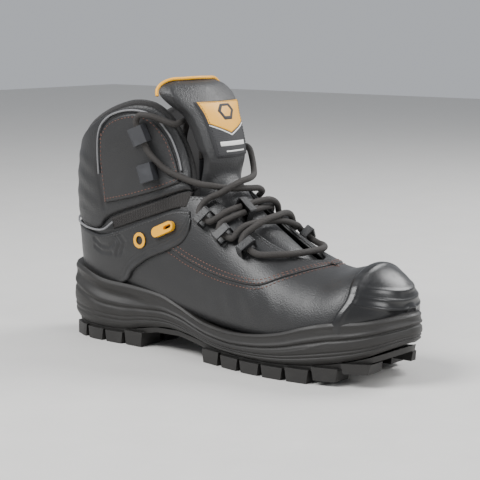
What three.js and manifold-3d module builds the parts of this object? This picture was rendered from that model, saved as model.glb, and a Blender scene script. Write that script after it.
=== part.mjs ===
// Steel toe work boot, right foot, laced up. Millimetres.
// +X points to the toe, -Y to the outer side of the foot, +Z up. The origin is on the floor, under the middle.
import * as THREE from "three";
import { LoftGeometry } from "three/addons/geometries/LoftGeometry.js";
import { mergeVertices } from "three/addons/utils/BufferGeometryUtils.js";
import Module from "manifold-3d";

const wasm = await Module();
wasm.setup();

// ---------------------------------------------------------------- driving dimensions
const bootLength = 310; // sole, heel to toe
const ballWidth = 110; // sole, at the ball of the foot
const shaftHeight = 180; // floor to the highest point of the cuff
const leatherThickness = 2;
const liningThickness = 2;
const overlayThickness = 2; // heel cage and other pieces sewn over the leather
const collarPadding = 5.5; // leather and foam of the collar together
const capThickness = 1.8; // steel toe cap
const footbedThickness = 4;
const soleThickness = 4; // outsole between its lugs
const lugWidth = 15; // one lug, heel to toe
const laceDiameter = 4.6;
const hookWidth = 13;
const tongueThickness = 11;
const gap = 0.5; // left between two layers
const seamGap = 0.5; // left between two pieces that meet edge to edge

// The outlines below are drawn for a boot 310 long, 110 wide and 180 high, and scaled to the driving dimensions.
const lengthScale = bootLength / 310;
const widthScale = ballWidth / 110;
const heightScale = shaftHeight / 180;

// ---------------------------------------------------------------- materials
const ramp = (value, from, to) =>
  THREE.MathUtils.smoothstep(value, Math.min(from, to), Math.max(from, to));
const paint = (color, roughness, metalness = 0) =>
  new THREE.MeshStandardMaterial({ color, roughness, metalness });
const leather = paint(0x1d1d1f, 0.5);
const softLeather = paint(0x222224, 0.6);
const mesh = paint(0x2b2b2d, 0.85);
const rubber = paint(0x1b1a19, 0.6);
const glossRubber = paint(0x161617, 0.3);
const foam = paint(0x3a3a3c, 0.9);
const steel = paint(0x9a9ca0, 0.35, 1);
const blackSteel = paint(0x18181a, 0.35, 1);
const yellow = paint(0xe8b93a, 0.5);
const reflective = paint(0x8a8c8f, 0.45);
const board = paint(0x8d7a5c, 0.9);
const cordFabric = paint(0x2a2725, 0.8);

// ---------------------------------------------------------------- the skin of the upper
// A row for each section, from the toe to the top of the shaft: x and z of its top or front, x and z of its
// bottom or back, half widths on the outer and inner side, how far down it is widest (0 top, 1 bottom), and
// how square its top and bottom halves are (2 round).
const sections = [
  [143, 46, 143, 46, 0, 0, 0.6, 2, 2],
  [138, 64, 136, 32, 26, 19, 0.6, 2, 2.4],
  [118, 76, 116, 21, 43, 35, 0.64, 2, 3],
  [92, 72, 90, 18, 48.5, 43, 0.7, 2.1, 3],
  [62, 78, 58, 18, 50, 44.5, 0.72, 2.4, 3],
  [30, 94, 24, 19, 47, 41.5, 0.72, 2.6, 3],
  [4, 113, -20, 23, 42.5, 38.5, 0.7, 2.6, 3],
  [-16, 132, -80, 30, 38.5, 36.5, 0.64, 2.5, 3],
  [-26, 149, -134, 37, 37, 36, 0.56, 2.4, 2.6],
  [-32, 164, -149, 72, 37, 36, 0.5, 2.4, 2.2],
  [-36, 177, -147, 115, 39, 38, 0.5, 2.5, 2.2],
  [-39, 189, -141, 158, 40, 40, 0.5, 2.5, 2.2],
  [-41, 200, -138, 195, 41, 41, 0.5, 2.5, 2.2],
];
const lastSection = sections.length - 1;
const through = (points, closed = false) => new THREE.CatmullRomCurve3(points, closed, "catmullrom");
const column = (pick) => through(sections.map((row) => new THREE.Vector3(...pick(row))));
const topCurve = column(([x, z]) => [x * lengthScale, 0, z * heightScale]);
const bottomCurve = column(([, , x, z]) => [x * lengthScale, 0, z * heightScale]);
const widthCurve = column(([, , , , outer, inner, widest]) => [outer * widthScale, inner * widthScale, widest]);
const squareCurve = column((row) => [row[7], row[8], 0]);

// A point of the skin. Station runs from 0 at the toe to lastSection at the top of the shaft. Angle runs from
// 0 at the top or front, round the outer side to half a turn at the bottom or back, and on round the inner side.
function skinPoint(station, angle) {
  const t = THREE.MathUtils.clamp(station / lastSection, 0, 1);
  const top = topCurve.getPoint(t);
  const bottom = bottomCurve.getPoint(t);
  const widths = widthCurve.getPoint(t);
  const square = squareCurve.getPoint(t);
  const cos = Math.cos(angle);
  const sin = Math.sin(angle);
  const power = Math.max(2, cos > 0 ? square.x : square.y);
  const reach = Math.abs(cos) ** (2 / power);
  const down = cos > 0 ? widths.z * (1 - reach) : widths.z + (1 - widths.z) * reach;
  const half = sin > 0 ? -Math.max(0, widths.x) : Math.max(0, widths.y);
  const point = top.lerp(bottom, down);
  point.y = half * Math.abs(sin) ** (2 / power);
  return point;
}

// The direction straight out of the skin.
function skinNormal(station, angle) {
  if (station < 0.05) return new THREE.Vector3(1, 0, 0);
  const step = 0.03;
  const along = skinPoint(station + step, angle).sub(skinPoint(station - step, angle));
  const round = skinPoint(station, angle + step).sub(skinPoint(station, angle - step));
  return along.cross(round).normalize();
}

const skin = (station, angle, offset = 0) =>
  skinPoint(station, angle).addScaledVector(skinNormal(station, angle), offset);

// ---------------------------------------------------------------- solids
// A closed geometry as a solid that faces outwards.
function solidOf(geometry) {
  geometry.deleteAttribute("normal");
  geometry.deleteAttribute("uv");
  const merged = mergeVertices(geometry, 1e-3);
  const index = merged.index.array;
  const kept = [];
  for (let i = 0; i < index.length; i += 3) {
    const [a, b, c] = index.subarray(i, i + 3);
    if (a !== b && b !== c && c !== a) kept.push(a, b, c);
  }
  const vertProperties = merged.attributes.position.array;
  const build = (corners) => {
    const triVerts = new Uint32Array(corners);
    return new wasm.Manifold(new wasm.Mesh({ numProp: 3, vertProperties, triVerts }));
  };
  const made = build(kept);
  return made.volume() > 0 ? made : build(kept.reverse());
}

// Adds a solid to the boot as a named mesh.
const boot = new THREE.Group();
boot.name = "steel_toe_work_boot";
function add(name, solid, material) {
  const { numProp, vertProperties, triVerts } = solid.getMesh();
  const positions = new Float32Array((vertProperties.length / numProp) * 3);
  for (let i = 0; i < positions.length / 3; i++) {
    positions.set(vertProperties.subarray(i * numProp, i * numProp + 3), i * 3);
  }
  const geometry = new THREE.BufferGeometry();
  geometry.setAttribute("position", new THREE.BufferAttribute(positions, 3));
  geometry.setIndex(new THREE.BufferAttribute(triVerts, 1));
  const made = new THREE.Mesh(geometry, material);
  made.name = name;
  boot.add(made);
}

// The biggest of a solid's separate bodies: drops the crumbs a cut can leave behind.
const largest = (solid) => solid.decompose().sort((a, b) => b.volume() - a.volume())[0];

// The skin as rings of points. An offset is a distance, or a distance for each station and angle.
const ringPoints = 18;
const skinRows = 20;
const angleOf = (i) => (i / ringPoints) * 2 * Math.PI;
const stationOf = (row) => (row / skinRows) * lastSection;
const offsetAt = (offset, station, angle) => (typeof offset === "function" ? offset(station, angle) : offset);
const ring = (station, offset) =>
  Array.from({ length: ringPoints }, (_, i) => {
    const angle = angleOf(i);
    return skin(station, angle, offsetAt(offset, station, angle));
  });
const rows = (offset) => Array.from({ length: skinRows + 1 }, (_, row) => ring(stationOf(row), offset));

// The whole form of the upper up to an offset, and a layer of it between two offsets.
function form(offset) {
  const rings = rows(offset);
  const last = rings.at(-1);
  const middle = last.reduce((sum, point) => sum.add(point), new THREE.Vector3()).divideScalar(last.length);
  return solidOf(new LoftGeometry([...rings, last.map(() => middle)]));
}
const layer = (outside, inside) => solidOf(new LoftGeometry([...rows(outside), ...rows(inside).reverse()]));

// A curved plate from rows of points on its outside and its inside. The ends close on the line between the two.
function plate(outsideRows, insideRows) {
  const sections = outsideRows.map((row, i) => [...row, ...insideRows[i].slice().reverse()]);
  const closing = (i) => {
    const middle = outsideRows[i].map((point, k) => point.clone().lerp(insideRows[i][k], 0.5));
    return [...middle, ...middle.slice().reverse()];
  };
  return solidOf(new LoftGeometry([closing(0), ...sections, closing(sections.length - 1)]));
}

// A prism over an outline in side view (x, z), from y0 to y1.
const scaledSide = ([x, z]) => new THREE.Vector2(x * lengthScale, z * heightScale);
const scaledPlan = ([x, y]) => new THREE.Vector2(x * lengthScale, y * widthScale);
function sidePrism(points, y0, y1) {
  const shape = new THREE.Shape(points.map(scaledSide));
  const geometry = new THREE.ExtrudeGeometry(shape, { depth: y1 - y0, bevelEnabled: false });
  geometry.rotateX(Math.PI / 2);
  geometry.translate(0, y1, 0);
  return solidOf(geometry);
}

// A prism over an outline in plan (x, y), from z0 to z1.
function planPrism(points, z0, z1) {
  const geometry = new THREE.ExtrudeGeometry(new THREE.Shape(points), { depth: z1 - z0, bevelEnabled: false });
  geometry.translate(0, 0, z0);
  return solidOf(geometry);
}

// A smooth line through side view points.
const smoothSide = (points, steps) =>
  new THREE.SplineCurve(points.map(([x, z]) => new THREE.Vector2(x, z)))
    .getPoints(steps)
    .map(({ x, y }) => [x, y]);

// The thin cut along a seam in side view.
function seamCut(points, y0, y1) {
  const sideways = points.map(([x, z], i) => {
    const [ax, az] = points[Math.max(0, i - 1)];
    const [bx, bz] = points[Math.min(points.length - 1, i + 1)];
    const length = Math.hypot(bx - ax, bz - az);
    return [x, z, (-(bz - az) / length) * (seamGap / 2), ((bx - ax) / length) * (seamGap / 2)];
  });
  const left = sideways.map(([x, z, dx, dz]) => [x + dx, z + dz]);
  const right = sideways.map(([x, z, dx, dz]) => [x - dx, z - dz]).reverse();
  return sidePrism([...left, ...right], y0, y1);
}

// ---------------------------------------------------------------- sole
// Outline of the sole in plan, from the toe down the outer side to the heel and back up the inner side.
const soleOutline = through(
  [
    [155, -6], [151, -21], [138, -37], [112, -49], [80, -55], [45, -55], [10, -49], [-30, -42], [-75, -40],
    [-115, -40], [-142, -30], [-153, -14], [-155, 0], [-153, 13], [-142, 29], [-115, 38], [-75, 37],
    [-30, 36], [10, 41], [45, 49], [80, 51], [106, 45], [128, 32], [147, 12],
  ].map(([x, y]) => new THREE.Vector3(x * lengthScale, y * widthScale, 0)),
  true,
);
const solePoints = 48;
function outlinePoint(i, inset) {
  const t = (i / solePoints) % 1;
  const point = soleOutline.getPoint(t);
  const tangent = soleOutline.getTangent(t);
  return new THREE.Vector3(point.x + tangent.y * inset, point.y - tangent.x * inset, 0);
}
const insetOutline = (inset) =>
  Array.from({ length: solePoints }, (_, i) => outlinePoint(i, inset)).map(
    ({ x, y }) => new THREE.Vector2(x, y),
  );

// Heights along the boot, as smooth curves of x.
function heightCurve(points) {
  const curve = new THREE.SplineCurve(points.map(([x, z]) => new THREE.Vector2(x * lengthScale, z)));
  const samples = curve.getPoints(160);
  return (x) => {
    const next = samples.findIndex((p) => p.x >= x);
    if (next <= 0) return next === 0 ? samples[0].y : samples.at(-1).y;
    const [a, b] = [samples[next - 1], samples[next]];
    return a.y + ((b.y - a.y) * (x - a.x)) / (b.x - a.x);
  };
}
const treadHeight = heightCurve([
  [-156, 11], [-138, 8], [-115, 7], [-85, 7], [-65, 11], [-40, 14], [-15, 12], [10, 7.5], [35, 6.5], [70, 6.5],
  [100, 9], [130, 15], [156, 25],
]);
const rimHeight = heightCurve([
  [-156, 57], [-129, 54], [-103, 48], [-75, 46], [-47, 43], [-30, 38], [-9, 31], [8, 28], [30, 27], [54, 29],
  [75, 33], [94, 39], [112, 43], [133, 45], [156, 49],
]);

// A solid the shape of the sole. Its side wall is a list of [inset from the outline, height at x], from the
// bottom up, and its bottom and top run straight across from wall to wall.
function soleSolid(wall) {
  const side = (i) =>
    wall.map(([inset, height]) => {
      const point = outlinePoint(i, inset);
      point.z = height(point.x);
      return point;
    });
  const across = Array.from({ length: solePoints / 2 + 1 }, (_, i) => [
    ...side(i),
    ...side(solePoints - i).reverse(),
  ]);
  return solidOf(new LoftGeometry(across));
}
const midsoleBase = (x) => treadHeight(x) + soleThickness + gap;
const wallHeight = (share) => (x) => midsoleBase(x) + (rimHeight(x) - midsoleBase(x)) * share;
const wallProfile = [[4, 0], [1, 0.12], [0, 0.4], [0.8, 0.7], [1.6, 0.96], [2.4, 1], [12, 0.96]];
const midsoleBlank = soleSolid(wallProfile.map(([inset, share]) => [inset, wallHeight(share)]));
const midsoleRoom = soleSolid(
  wallProfile.map(([inset, share]) => [inset - gap, (x) => wallHeight(share)(x) + (share - 0.3) * gap * 2]),
);
const upperRoom = form(gap);

// The steel shank lies in a pocket in the top of the midsole, under the waist of the foot.
const shankWidth = 14;
const shankThickness = 1.5;
const shankFrom = -85;
const shankTo = 5;
const shankLine = (up) =>
  Array.from({ length: 7 }, (_, i) => {
    const x = (shankFrom + ((shankTo - shankFrom) * i) / 6) * lengthScale;
    return [x, shankHeight(x) + up];
  });
const shankHeight = heightCurve([
  [-90, 28.3], [-80, 27.2], [-60, 24.4], [-40, 22], [-20, 19.9], [0, 18.5], [10, 18],
]);
function shankSolid(extra) {
  const low = shankLine(-extra);
  const high = shankLine(shankThickness + extra).reverse();
  const shape = new THREE.Shape([...low, ...high].map(([x, z]) => new THREE.Vector2(x, z)));
  const width = shankWidth + 2 * extra;
  const geometry = new THREE.ExtrudeGeometry(shape, { depth: width, bevelEnabled: false });
  geometry.rotateX(Math.PI / 2);
  geometry.translate(0, width / 2, 0);
  return solidOf(geometry);
}
const shankPocket = shankSolid(gap).add(shankSolid(gap).translate([0, 0, 4]));
add("midsole", largest(midsoleBlank.subtract(upperRoom).subtract(shankPocket)), rubber);
add("shank", shankSolid(0), steel);

// Lugs stand on the floor under the heel and the ball, and lift with the sole at the toe.
const lugDepth = 20; // lug, from the edge of the sole inwards
const lugRows = [-134, -114, -94, -74, 8, 28, 48, 68, 88, 108, 128];
const lugHeight = 8.5; // lug under the heel and the ball
const toeLugHeight = 5;
const lugTaper = (x) => (lugHeight - toeLugHeight) * ramp(x, 98 * lengthScale, 120 * lengthScale);
const lugFloor = (x) => Math.max(0, treadHeight(x) - lugHeight + lugTaper(x));
function lug(x, inner) {
  const floor = lugFloor(x * lengthScale);
  const half = lugWidth / 2;
  const top = treadHeight(x * lengthScale) + 2;
  const shape = new THREE.Shape([
    new THREE.Vector2(x * lengthScale - half, floor),
    new THREE.Vector2(x * lengthScale + half, floor),
    new THREE.Vector2(x * lengthScale + half + 1.5, top),
    new THREE.Vector2(x * lengthScale - half - 1.5, top),
  ]);
  const outlineAt = insetOutline(1).filter((p) => Math.abs(p.x - x * lengthScale) < 14 && p.y > 0 === inner);
  const edge = Math.max(...outlineAt.map((p) => Math.abs(p.y))) + 6;
  const geometry = new THREE.ExtrudeGeometry(shape, { depth: lugDepth + 8, bevelEnabled: false });
  geometry.rotateX(Math.PI / 2);
  geometry.translate(0, inner ? edge : -edge + lugDepth + 8, 0);
  return solidOf(geometry);
}
const centreLug = (x) => {
  const size = lugWidth * 0.8;
  const shape = [[-1, -1], [1, -1], [1.6, 0], [1, 1], [-1, 1], [-0.4, 0]];
  const floor = lugFloor(x * lengthScale);
  const corners = shape.map(([a, b]) => new THREE.Vector2(x * lengthScale + (a * size) / 2, b * size * 0.8));
  return planPrism(corners, floor, treadHeight(x * lengthScale) + 2);
};
const lugs = wasm.Manifold.union([
  ...lugRows.flatMap((x) => [lug(x, false), lug(x, true)]),
  ...lugRows.slice(1, -1).map(centreLug),
]);
const lugField = planPrism(insetOutline(2), 0, 40);
const tread = soleSolid([[5, treadHeight], [4, (x) => treadHeight(x) + soleThickness]]);
const treadTop = soleSolid([
  [-5, (x) => treadHeight(x) - 40],
  [-5, (x) => treadHeight(x) + soleThickness - 0.5],
]);
add("outsole", largest(tread.add(lugs.intersect(lugField).intersect(treadTop))), rubber);

// ---------------------------------------------------------------- places on the skin
// The station and angle of the skin at a side view place (x, z), on the outer (-1) or inner (1) side.
function find(x, z, side) {
  let best;
  const miss = (station, angle) => {
    const p = skinPoint(station, angle);
    return Math.hypot(p.x - x * lengthScale, p.z - z * heightScale);
  };
  for (let station = 0.2; station < lastSection; station += 0.2) {
    for (let degrees = 4; degrees < 180; degrees += 4) {
      const angle = THREE.MathUtils.degToRad(side < 0 ? degrees : 360 - degrees);
      const distance = miss(station, angle);
      if (!best || distance < best.distance) best = { station, angle, distance };
    }
  }
  for (let step = 0.1; step > 1e-4; step /= 2) {
    for (const [ds, da] of [[1, 0], [-1, 0], [0, 1], [0, -1], [1, 1], [-1, -1], [1, -1], [-1, 1]]) {
      const station = best.station + ds * step;
      const angle = best.angle + da * step * 0.5;
      const distance = miss(station, angle);
      if (distance < best.distance) best = { station, angle, distance };
    }
  }
  return best;
}

// A frame on the skin: out is the normal, ahead is the way to the toe along the skin, across completes it.
function frameAt(x, z, side, offset, turn = 0) {
  const { station, angle } = find(x, z, side);
  const out = skinNormal(station, angle);
  const ahead = new THREE.Vector3(Math.cos(turn), 0, Math.sin(turn));
  ahead.addScaledVector(out, -ahead.dot(out)).normalize();
  const up = new THREE.Vector3().crossVectors(ahead, out).multiplyScalar(side < 0 ? -1 : 1);
  const at = skinPoint(station, angle).addScaledVector(out, offset);
  return new THREE.Matrix4().makeBasis(ahead, up, out).setPosition(at);
}

// A flat shape laid on the skin: x of the shape is ahead, y is up, its thickness stands out of the skin.
function onSkin(shape, thickness, frame) {
  const options = { depth: thickness, bevelEnabled: false, curveSegments: 5 };
  const geometry = new THREE.ExtrudeGeometry(shape, options);
  geometry.applyMatrix4(frame);
  return solidOf(geometry);
}

// A rounded bar or hole, length long and width wide overall.
function stadium(Kind, length, width, cx = 0, cy = 0) {
  const half = length / 2 - width / 2;
  const path = new Kind();
  path.moveTo(cx - half, cy - width / 2);
  path.lineTo(cx + half, cy - width / 2);
  path.absarc(cx + half, cy, width / 2, -Math.PI / 2, Math.PI / 2, false);
  path.lineTo(cx - half, cy + width / 2);
  path.absarc(cx - half, cy, width / 2, Math.PI / 2, (3 * Math.PI) / 2, false);
  return path;
}

// A round cord or roll along points, flat at both ends.
function roll(points, diameter, steps, sides = 6) {
  const shape = new THREE.Shape();
  shape.absarc(0, 0, diameter / 2, 0, 2 * Math.PI, false);
  const extrudePath = new THREE.CatmullRomCurve3(points, false, "centripetal");
  return solidOf(new THREE.ExtrudeGeometry(shape, { extrudePath, steps, curveSegments: sides / 2 }));
}

// ---------------------------------------------------------------- cuts through the upper
// The throat, where the tongue shows: a slot in plan over the instep, and everything in front of the cuff.
const throatSide = [[72, 0], [69, 8], [60, 14], [40, 18], [12, 21], [-10, 23], [-22, 24], [-34, 24]];
const throatPlan = [...throatSide.map(([x, y]) => [x, -y]), ...throatSide.slice(1).reverse()];
const cuffFront = [[-22, 116], [-26, 125], [-31, 138], [-37, 152], [-42, 163], [-47, 172], [-55, 179]];
const cuffTop = [[-66, 181], [-78, 179], [-95, 173], [-115, 163], [-130, 153], [-141, 147], [-165, 145]];
const frontOpening = [...smoothSide(cuffFront, 12), [-55, 240], [80, 240], [80, 116]];
const throatCut = planPrism(throatPlan.map(scaledPlan), 40, 260).add(sidePrism(frontOpening, -80, 80));
const cuffOutline = smoothSide([...cuffFront, ...cuffTop], 16);
const belowCuff = [...cuffOutline, [-165, -10], [165, -10], [165, 116]];
const cuffCut = sidePrism(belowCuff, -80, 80);

// The rolled binding along the whole edge of the cuff.
const bindingDiameter = 6;
const bindingSide = smoothSide([...cuffFront.slice(1), ...cuffTop.slice(0, -2)], 13);
const edgePoint = (side) => ([x, z]) => {
  const { station, angle } = find(x, z, side);
  return skin(station, angle, -leatherThickness);
};
const bindingBack = skin(11, Math.PI, -leatherThickness);
bindingBack.z = 147 * heightScale;
const bindingPath = [
  ...bindingSide.map(edgePoint(-1)),
  bindingBack,
  ...bindingSide.map(edgePoint(1)).reverse(),
];
const bindingRoom = roll(bindingPath, bindingDiameter + 2 * gap, 40);
add("collar_binding", roll(bindingPath, bindingDiameter, 40), mesh);

// ---------------------------------------------------------------- leather and lining
// The wall of the toe and of the heel is hollow between lining and leather, for the cap and the stiffener.
function inlay(station, angle) {
  const { x, z } = skinPoint(station, angle);
  const toe = ramp(x, 70 * lengthScale, 88 * lengthScale) * ramp(z, 26, 34);
  const heel = (1 - ramp(x, -88 * lengthScale, -68 * lengthScale)) * ramp(z, 40, 48) * (1 - ramp(z, 102, 120));
  return Math.max(toe, heel) * (capThickness + gap);
}
const liningGap = 0.9; // for the glue and felt between leather and lining
const leatherInside = -leatherThickness - liningGap;
const liningOutside = (station, angle) => leatherInside - inlay(station, angle);
const liningInside = (station, angle) => liningOutside(station, angle) - liningThickness;

// Lasting margin: the leather is open underneath, where the board and the steel plate lie.
const marginInset = 17;
const boardInset = 9;
const underside = (inset) => planPrism(insetOutline(inset), -5, 44);
const openUpper = (solid) => solid.subtract(throatCut).intersect(cuffCut).subtract(bindingRoom);

const leatherShell = layer(0, -leatherThickness);
const leatherOpen = openUpper(leatherShell).subtract(underside(marginInset));
const seamVamp = smoothSide([
  [-50, 79], [-36, 77], [-16, 70], [9, 64], [33, 61], [51, 61], [65, 67], [76, 73], [92, 80],
], 14);
const seamCollar = smoothSide(
  [[-165, 94], [-140, 88], [-119, 84.5], [-108, 86], [-96, 96], [-59, 109], [-32, 119], [-14, 121]],
  14,
);
const vampCut = seamCut(seamVamp, -80, 80);
const sideCut = sidePrism([[-50.25, -10], [-49.75, -10], [-49.75, 130], [-50.25, 130]], -80, 80);
const belowCollar = [...seamCollar, [165, 121], [165, -10], [-165, -10]];
const collarCut = seamCut(seamCollar, -80, 80);
const vampSide = [...seamVamp, [165, 110], [165, -10], [-50, -10]];
const frontOf = [[-50, -10], [165, -10], [165, 140], [-50, 140]];
const lowerLeather = leatherOpen
  .intersect(sidePrism(belowCollar, -80, 80))
  .subtract(collarCut)
  .subtract(sideCut);
const frontLeather = lowerLeather.intersect(sidePrism(frontOf, -80, 80));
add("vamp", largest(frontLeather.intersect(sidePrism(vampSide, -80, 80)).subtract(vampCut)), leather);
add("quarter", largest(lowerLeather.subtract(sidePrism(frontOf, -80, 80))), leather);
add("facing", largest(frontLeather.subtract(sidePrism(vampSide, -80, 80)).subtract(vampCut)), leather);

const liningShell = openUpper(layer(liningOutside, liningInside)).subtract(underside(boardInset - gap));
add("lining", largest(liningShell), mesh);

// ---------------------------------------------------------------- toe cap, stiffener, boards
const capOutside = leatherInside + 0.05;
const capInside = capOutside - capThickness;
const liningRoom = form((station, angle) => liningOutside(station, angle) + 0.35);
const capShell = layer(capOutside, capInside).subtract(liningRoom).subtract(underside(boardInset - gap));
const capSide = [[90, 20], [90, 110], [165, 110], [165, 20]];
add("steel_toe_cap", largest(capShell.intersect(sidePrism(capSide, -80, 80))), steel);
const stiffenerSide = [[-93, 40], [-95, 60], [-104, 90], [-125, 95], [-165, 95], [-165, 40]];
add("heel_stiffener", largest(capShell.intersect(sidePrism(stiffenerSide, -80, 80))), board);

const boardShell = layer(leatherInside, leatherInside - liningThickness);
add("insole_board", largest(boardShell.intersect(underside(boardInset))), board);
const plateThickness = 1.2;
const plateShell = layer(-0.4, -0.4 - plateThickness);
add("penetration_plate", largest(plateShell.intersect(underside(marginInset + gap))), steel);

const footbedBottom = leatherInside - liningThickness - 1.5 * gap;
const footbedInset = 18;
const footbedShell = layer(footbedBottom, footbedBottom - footbedThickness);
add("footbed", largest(footbedShell.intersect(underside(footbedInset))), foam);

// ---------------------------------------------------------------- overlays
const outside = (solid) => solid.subtract(midsoleRoom).subtract(bindingRoom);
const overlayShell = layer(gap + overlayThickness, gap);
const guardThickness = 3;
const guardShell = layer(gap + guardThickness, gap);
const guardSide = [[112, 44.5], [119, 58], [116, 68], [114, 90], [165, 90], [165, 51], [133, 46.5]];
add("toe_guard", largest(outside(guardShell).intersect(sidePrism(guardSide, -80, 80))), glossRubber);

const cageTop = smoothSide([
  [-165, 93], [-140, 87], [-119, 83.5], [-107, 82.5], [-91, 86], [-56, 98], [-35, 105], [-22, 107],
], 12);
const cageFront = [
  [-19, 104], [-17, 98], [-18, 91], [-23, 83], [-34, 77], [-56, 68], [-72, 58], [-79, 48], [-84, -10],
  [-165, -10],
];
const cageSide = sidePrism([...cageTop, ...cageFront], -80, 80);
add("heel_cage", largest(outside(overlayShell).intersect(cageSide)), leather);

// A ribbed stretch band fills the wedge between the cage and the collar on each side.
const bandTop = [[-30, 117], [-59, 107.5], [-92, 95.5]];
const bandBottom = [[-92, 87], [-56, 99.5], [-35, 106.5], [-28, 107.5]];
const bandShell = layer(gap + 1.5, gap).subtract(throatCut);
add("flex_band_lateral", largest(bandShell.intersect(sidePrism([...bandBottom, ...bandTop], -80, 0))), mesh);
add("flex_band_medial", largest(bandShell.intersect(sidePrism([...bandBottom, ...bandTop], 0, 80))), mesh);

// The collar swells between its seam and its edge. The hook panels lie on it.
const collarSwell = collarPadding - leatherThickness;
function swell(station, angle) {
  const { z } = skinPoint(station, angle);
  const share = THREE.MathUtils.clamp((z / heightScale - 82) / 100, 0, 1);
  return 0.3 + collarSwell * Math.sqrt(Math.sin(share * Math.PI)) * 0.9;
}
const aboveSwell = (extra) => (station, angle) => swell(station, angle) + extra;
const aboveCollar = [...seamCollar, [165, 121], [165, 260], [-165, 260]];
const panelSide = [
  [-99, 106], [-101, 130], [-99, 156], [-92, 167], [-78, 173], [-64, 174], [-55, 169], [-48, 158], [-42, 144],
  [-36, 130], [-33, 124], [-50, 118], [-75, 111],
];
const rivetDiameter = 3;
const rivetHead = 6;
const hookBase = 1.6;
const panelThickness = 1.5;
const hookPlaces = [[-64, 159, 0.35], [-58, 131, 0.3]];
const sides = [["lateral", -1], ["medial", 1]];
const hookLength = 15;
const hookFrames = sides.flatMap(([name, side]) =>
  hookPlaces.map(([x, z, turn], i) => {
    const { station, angle } = find(x, z, side);
    const frame = frameAt(x, z, side, swell(station, angle) + panelThickness + 1.3, turn);
    const rivet = frame.clone().multiply(new THREE.Matrix4().makeTranslation(-hookLength / 2 + 4, 0, 0));
    return { name: `${name}_${i + 1}`, frame, rivet };
  }),
);
const barrel = (diameter, from, to, frame) => {
  const geometry = new THREE.CylinderGeometry(diameter / 2, diameter / 2, to - from, 12);
  geometry.rotateX(Math.PI / 2);
  geometry.translate(0, 0, (from + to) / 2);
  geometry.applyMatrix4(frame);
  return solidOf(geometry);
};
const rivetHoles = wasm.Manifold.union(
  hookFrames.map(({ rivet }) => barrel(rivetDiameter + 2 * gap, -5.5, 3, rivet)),
);
const collarShell = openUpper(layer(swell, -leatherThickness));
const collarRaw = collarShell.intersect(sidePrism(aboveCollar, -80, 80)).subtract(collarCut);
add("collar", largest(collarRaw.subtract(rivetHoles)), softLeather);
const panelLift = 0.6; // hook panel, over the collar
const panelLayer = layer(aboveSwell(panelLift + panelThickness), aboveSwell(panelLift));
const panelShell = panelLayer.subtract(rivetHoles).subtract(bindingRoom);
add("hook_panel_lateral", largest(panelShell.intersect(sidePrism(panelSide, -80, 0))), leather);
add("hook_panel_medial", largest(panelShell.intersect(sidePrism(panelSide, 0, 80))), leather);

// ---------------------------------------------------------------- hooks and rivets
const hookHeight = 8.4;
for (const { name, frame, rivet } of hookFrames) {
  const plate = new THREE.Shape();
  plate.moveTo(-hookLength / 2, 0);
  plate.lineTo(hookLength / 2, 0);
  plate.lineTo(hookLength / 2, hookHeight);
  plate.lineTo(-hookLength / 2 + 5, hookHeight);
  plate.lineTo(-hookLength / 2 + 5, hookHeight - hookBase);
  plate.lineTo(hookLength / 2 - hookBase, hookHeight - hookBase);
  plate.lineTo(hookLength / 2 - hookBase, hookBase);
  plate.lineTo(-hookLength / 2, hookBase);
  const geometry = new THREE.ExtrudeGeometry(plate, { depth: hookWidth, bevelEnabled: false });
  geometry.rotateX(Math.PI / 2);
  geometry.translate(0, hookWidth / 2, 0);
  geometry.applyMatrix4(frame);
  const hole = barrel(rivetDiameter + gap, -1, 2.5, rivet);
  add(`hook_${name}`, solidOf(geometry).subtract(hole), blackSteel);
  const shank = barrel(rivetDiameter, -4.5, hookBase + 1, rivet);
  add(`rivet_${name}`, shank.add(barrel(rivetHead, hookBase + 0.15, hookBase + 1.1, rivet)), blackSteel);
}

// ---------------------------------------------------------------- eyelets, badges, loops
const eyeletLength = 21;
const eyeletWidth = 7.5;
const badgeSize = 12;
for (const [name, side] of sides) {
  const eyelet = stadium(THREE.Shape, eyeletLength, eyeletWidth);
  eyelet.holes.push(stadium(THREE.Path, laceDiameter + 3, laceDiameter * 0.6, 5));
  add(`eyelet_${name}`, onSkin(eyelet, 3, frameAt(-40, 91, side, gap + overlayThickness + 0.5, 0.42)), yellow);
  const badge = new THREE.Shape();
  badge.absarc(0, 0, badgeSize / 2, 0, 2 * Math.PI, false);
  const rim = new THREE.Shape(badge.getPoints(6).slice(0, -1));
  const hole = new THREE.Path();
  hole.absarc(0, 0, badgeSize * 0.28, 0, 2 * Math.PI, false);
  rim.holes.push(new THREE.Path(hole.getPoints(6).slice(0, -1)));
  add(`badge_${name}`, onSkin(rim, 0.8, frameAt(-64, 81, side, gap + overlayThickness + 0.5, 0.42)), yellow);
}

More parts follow.
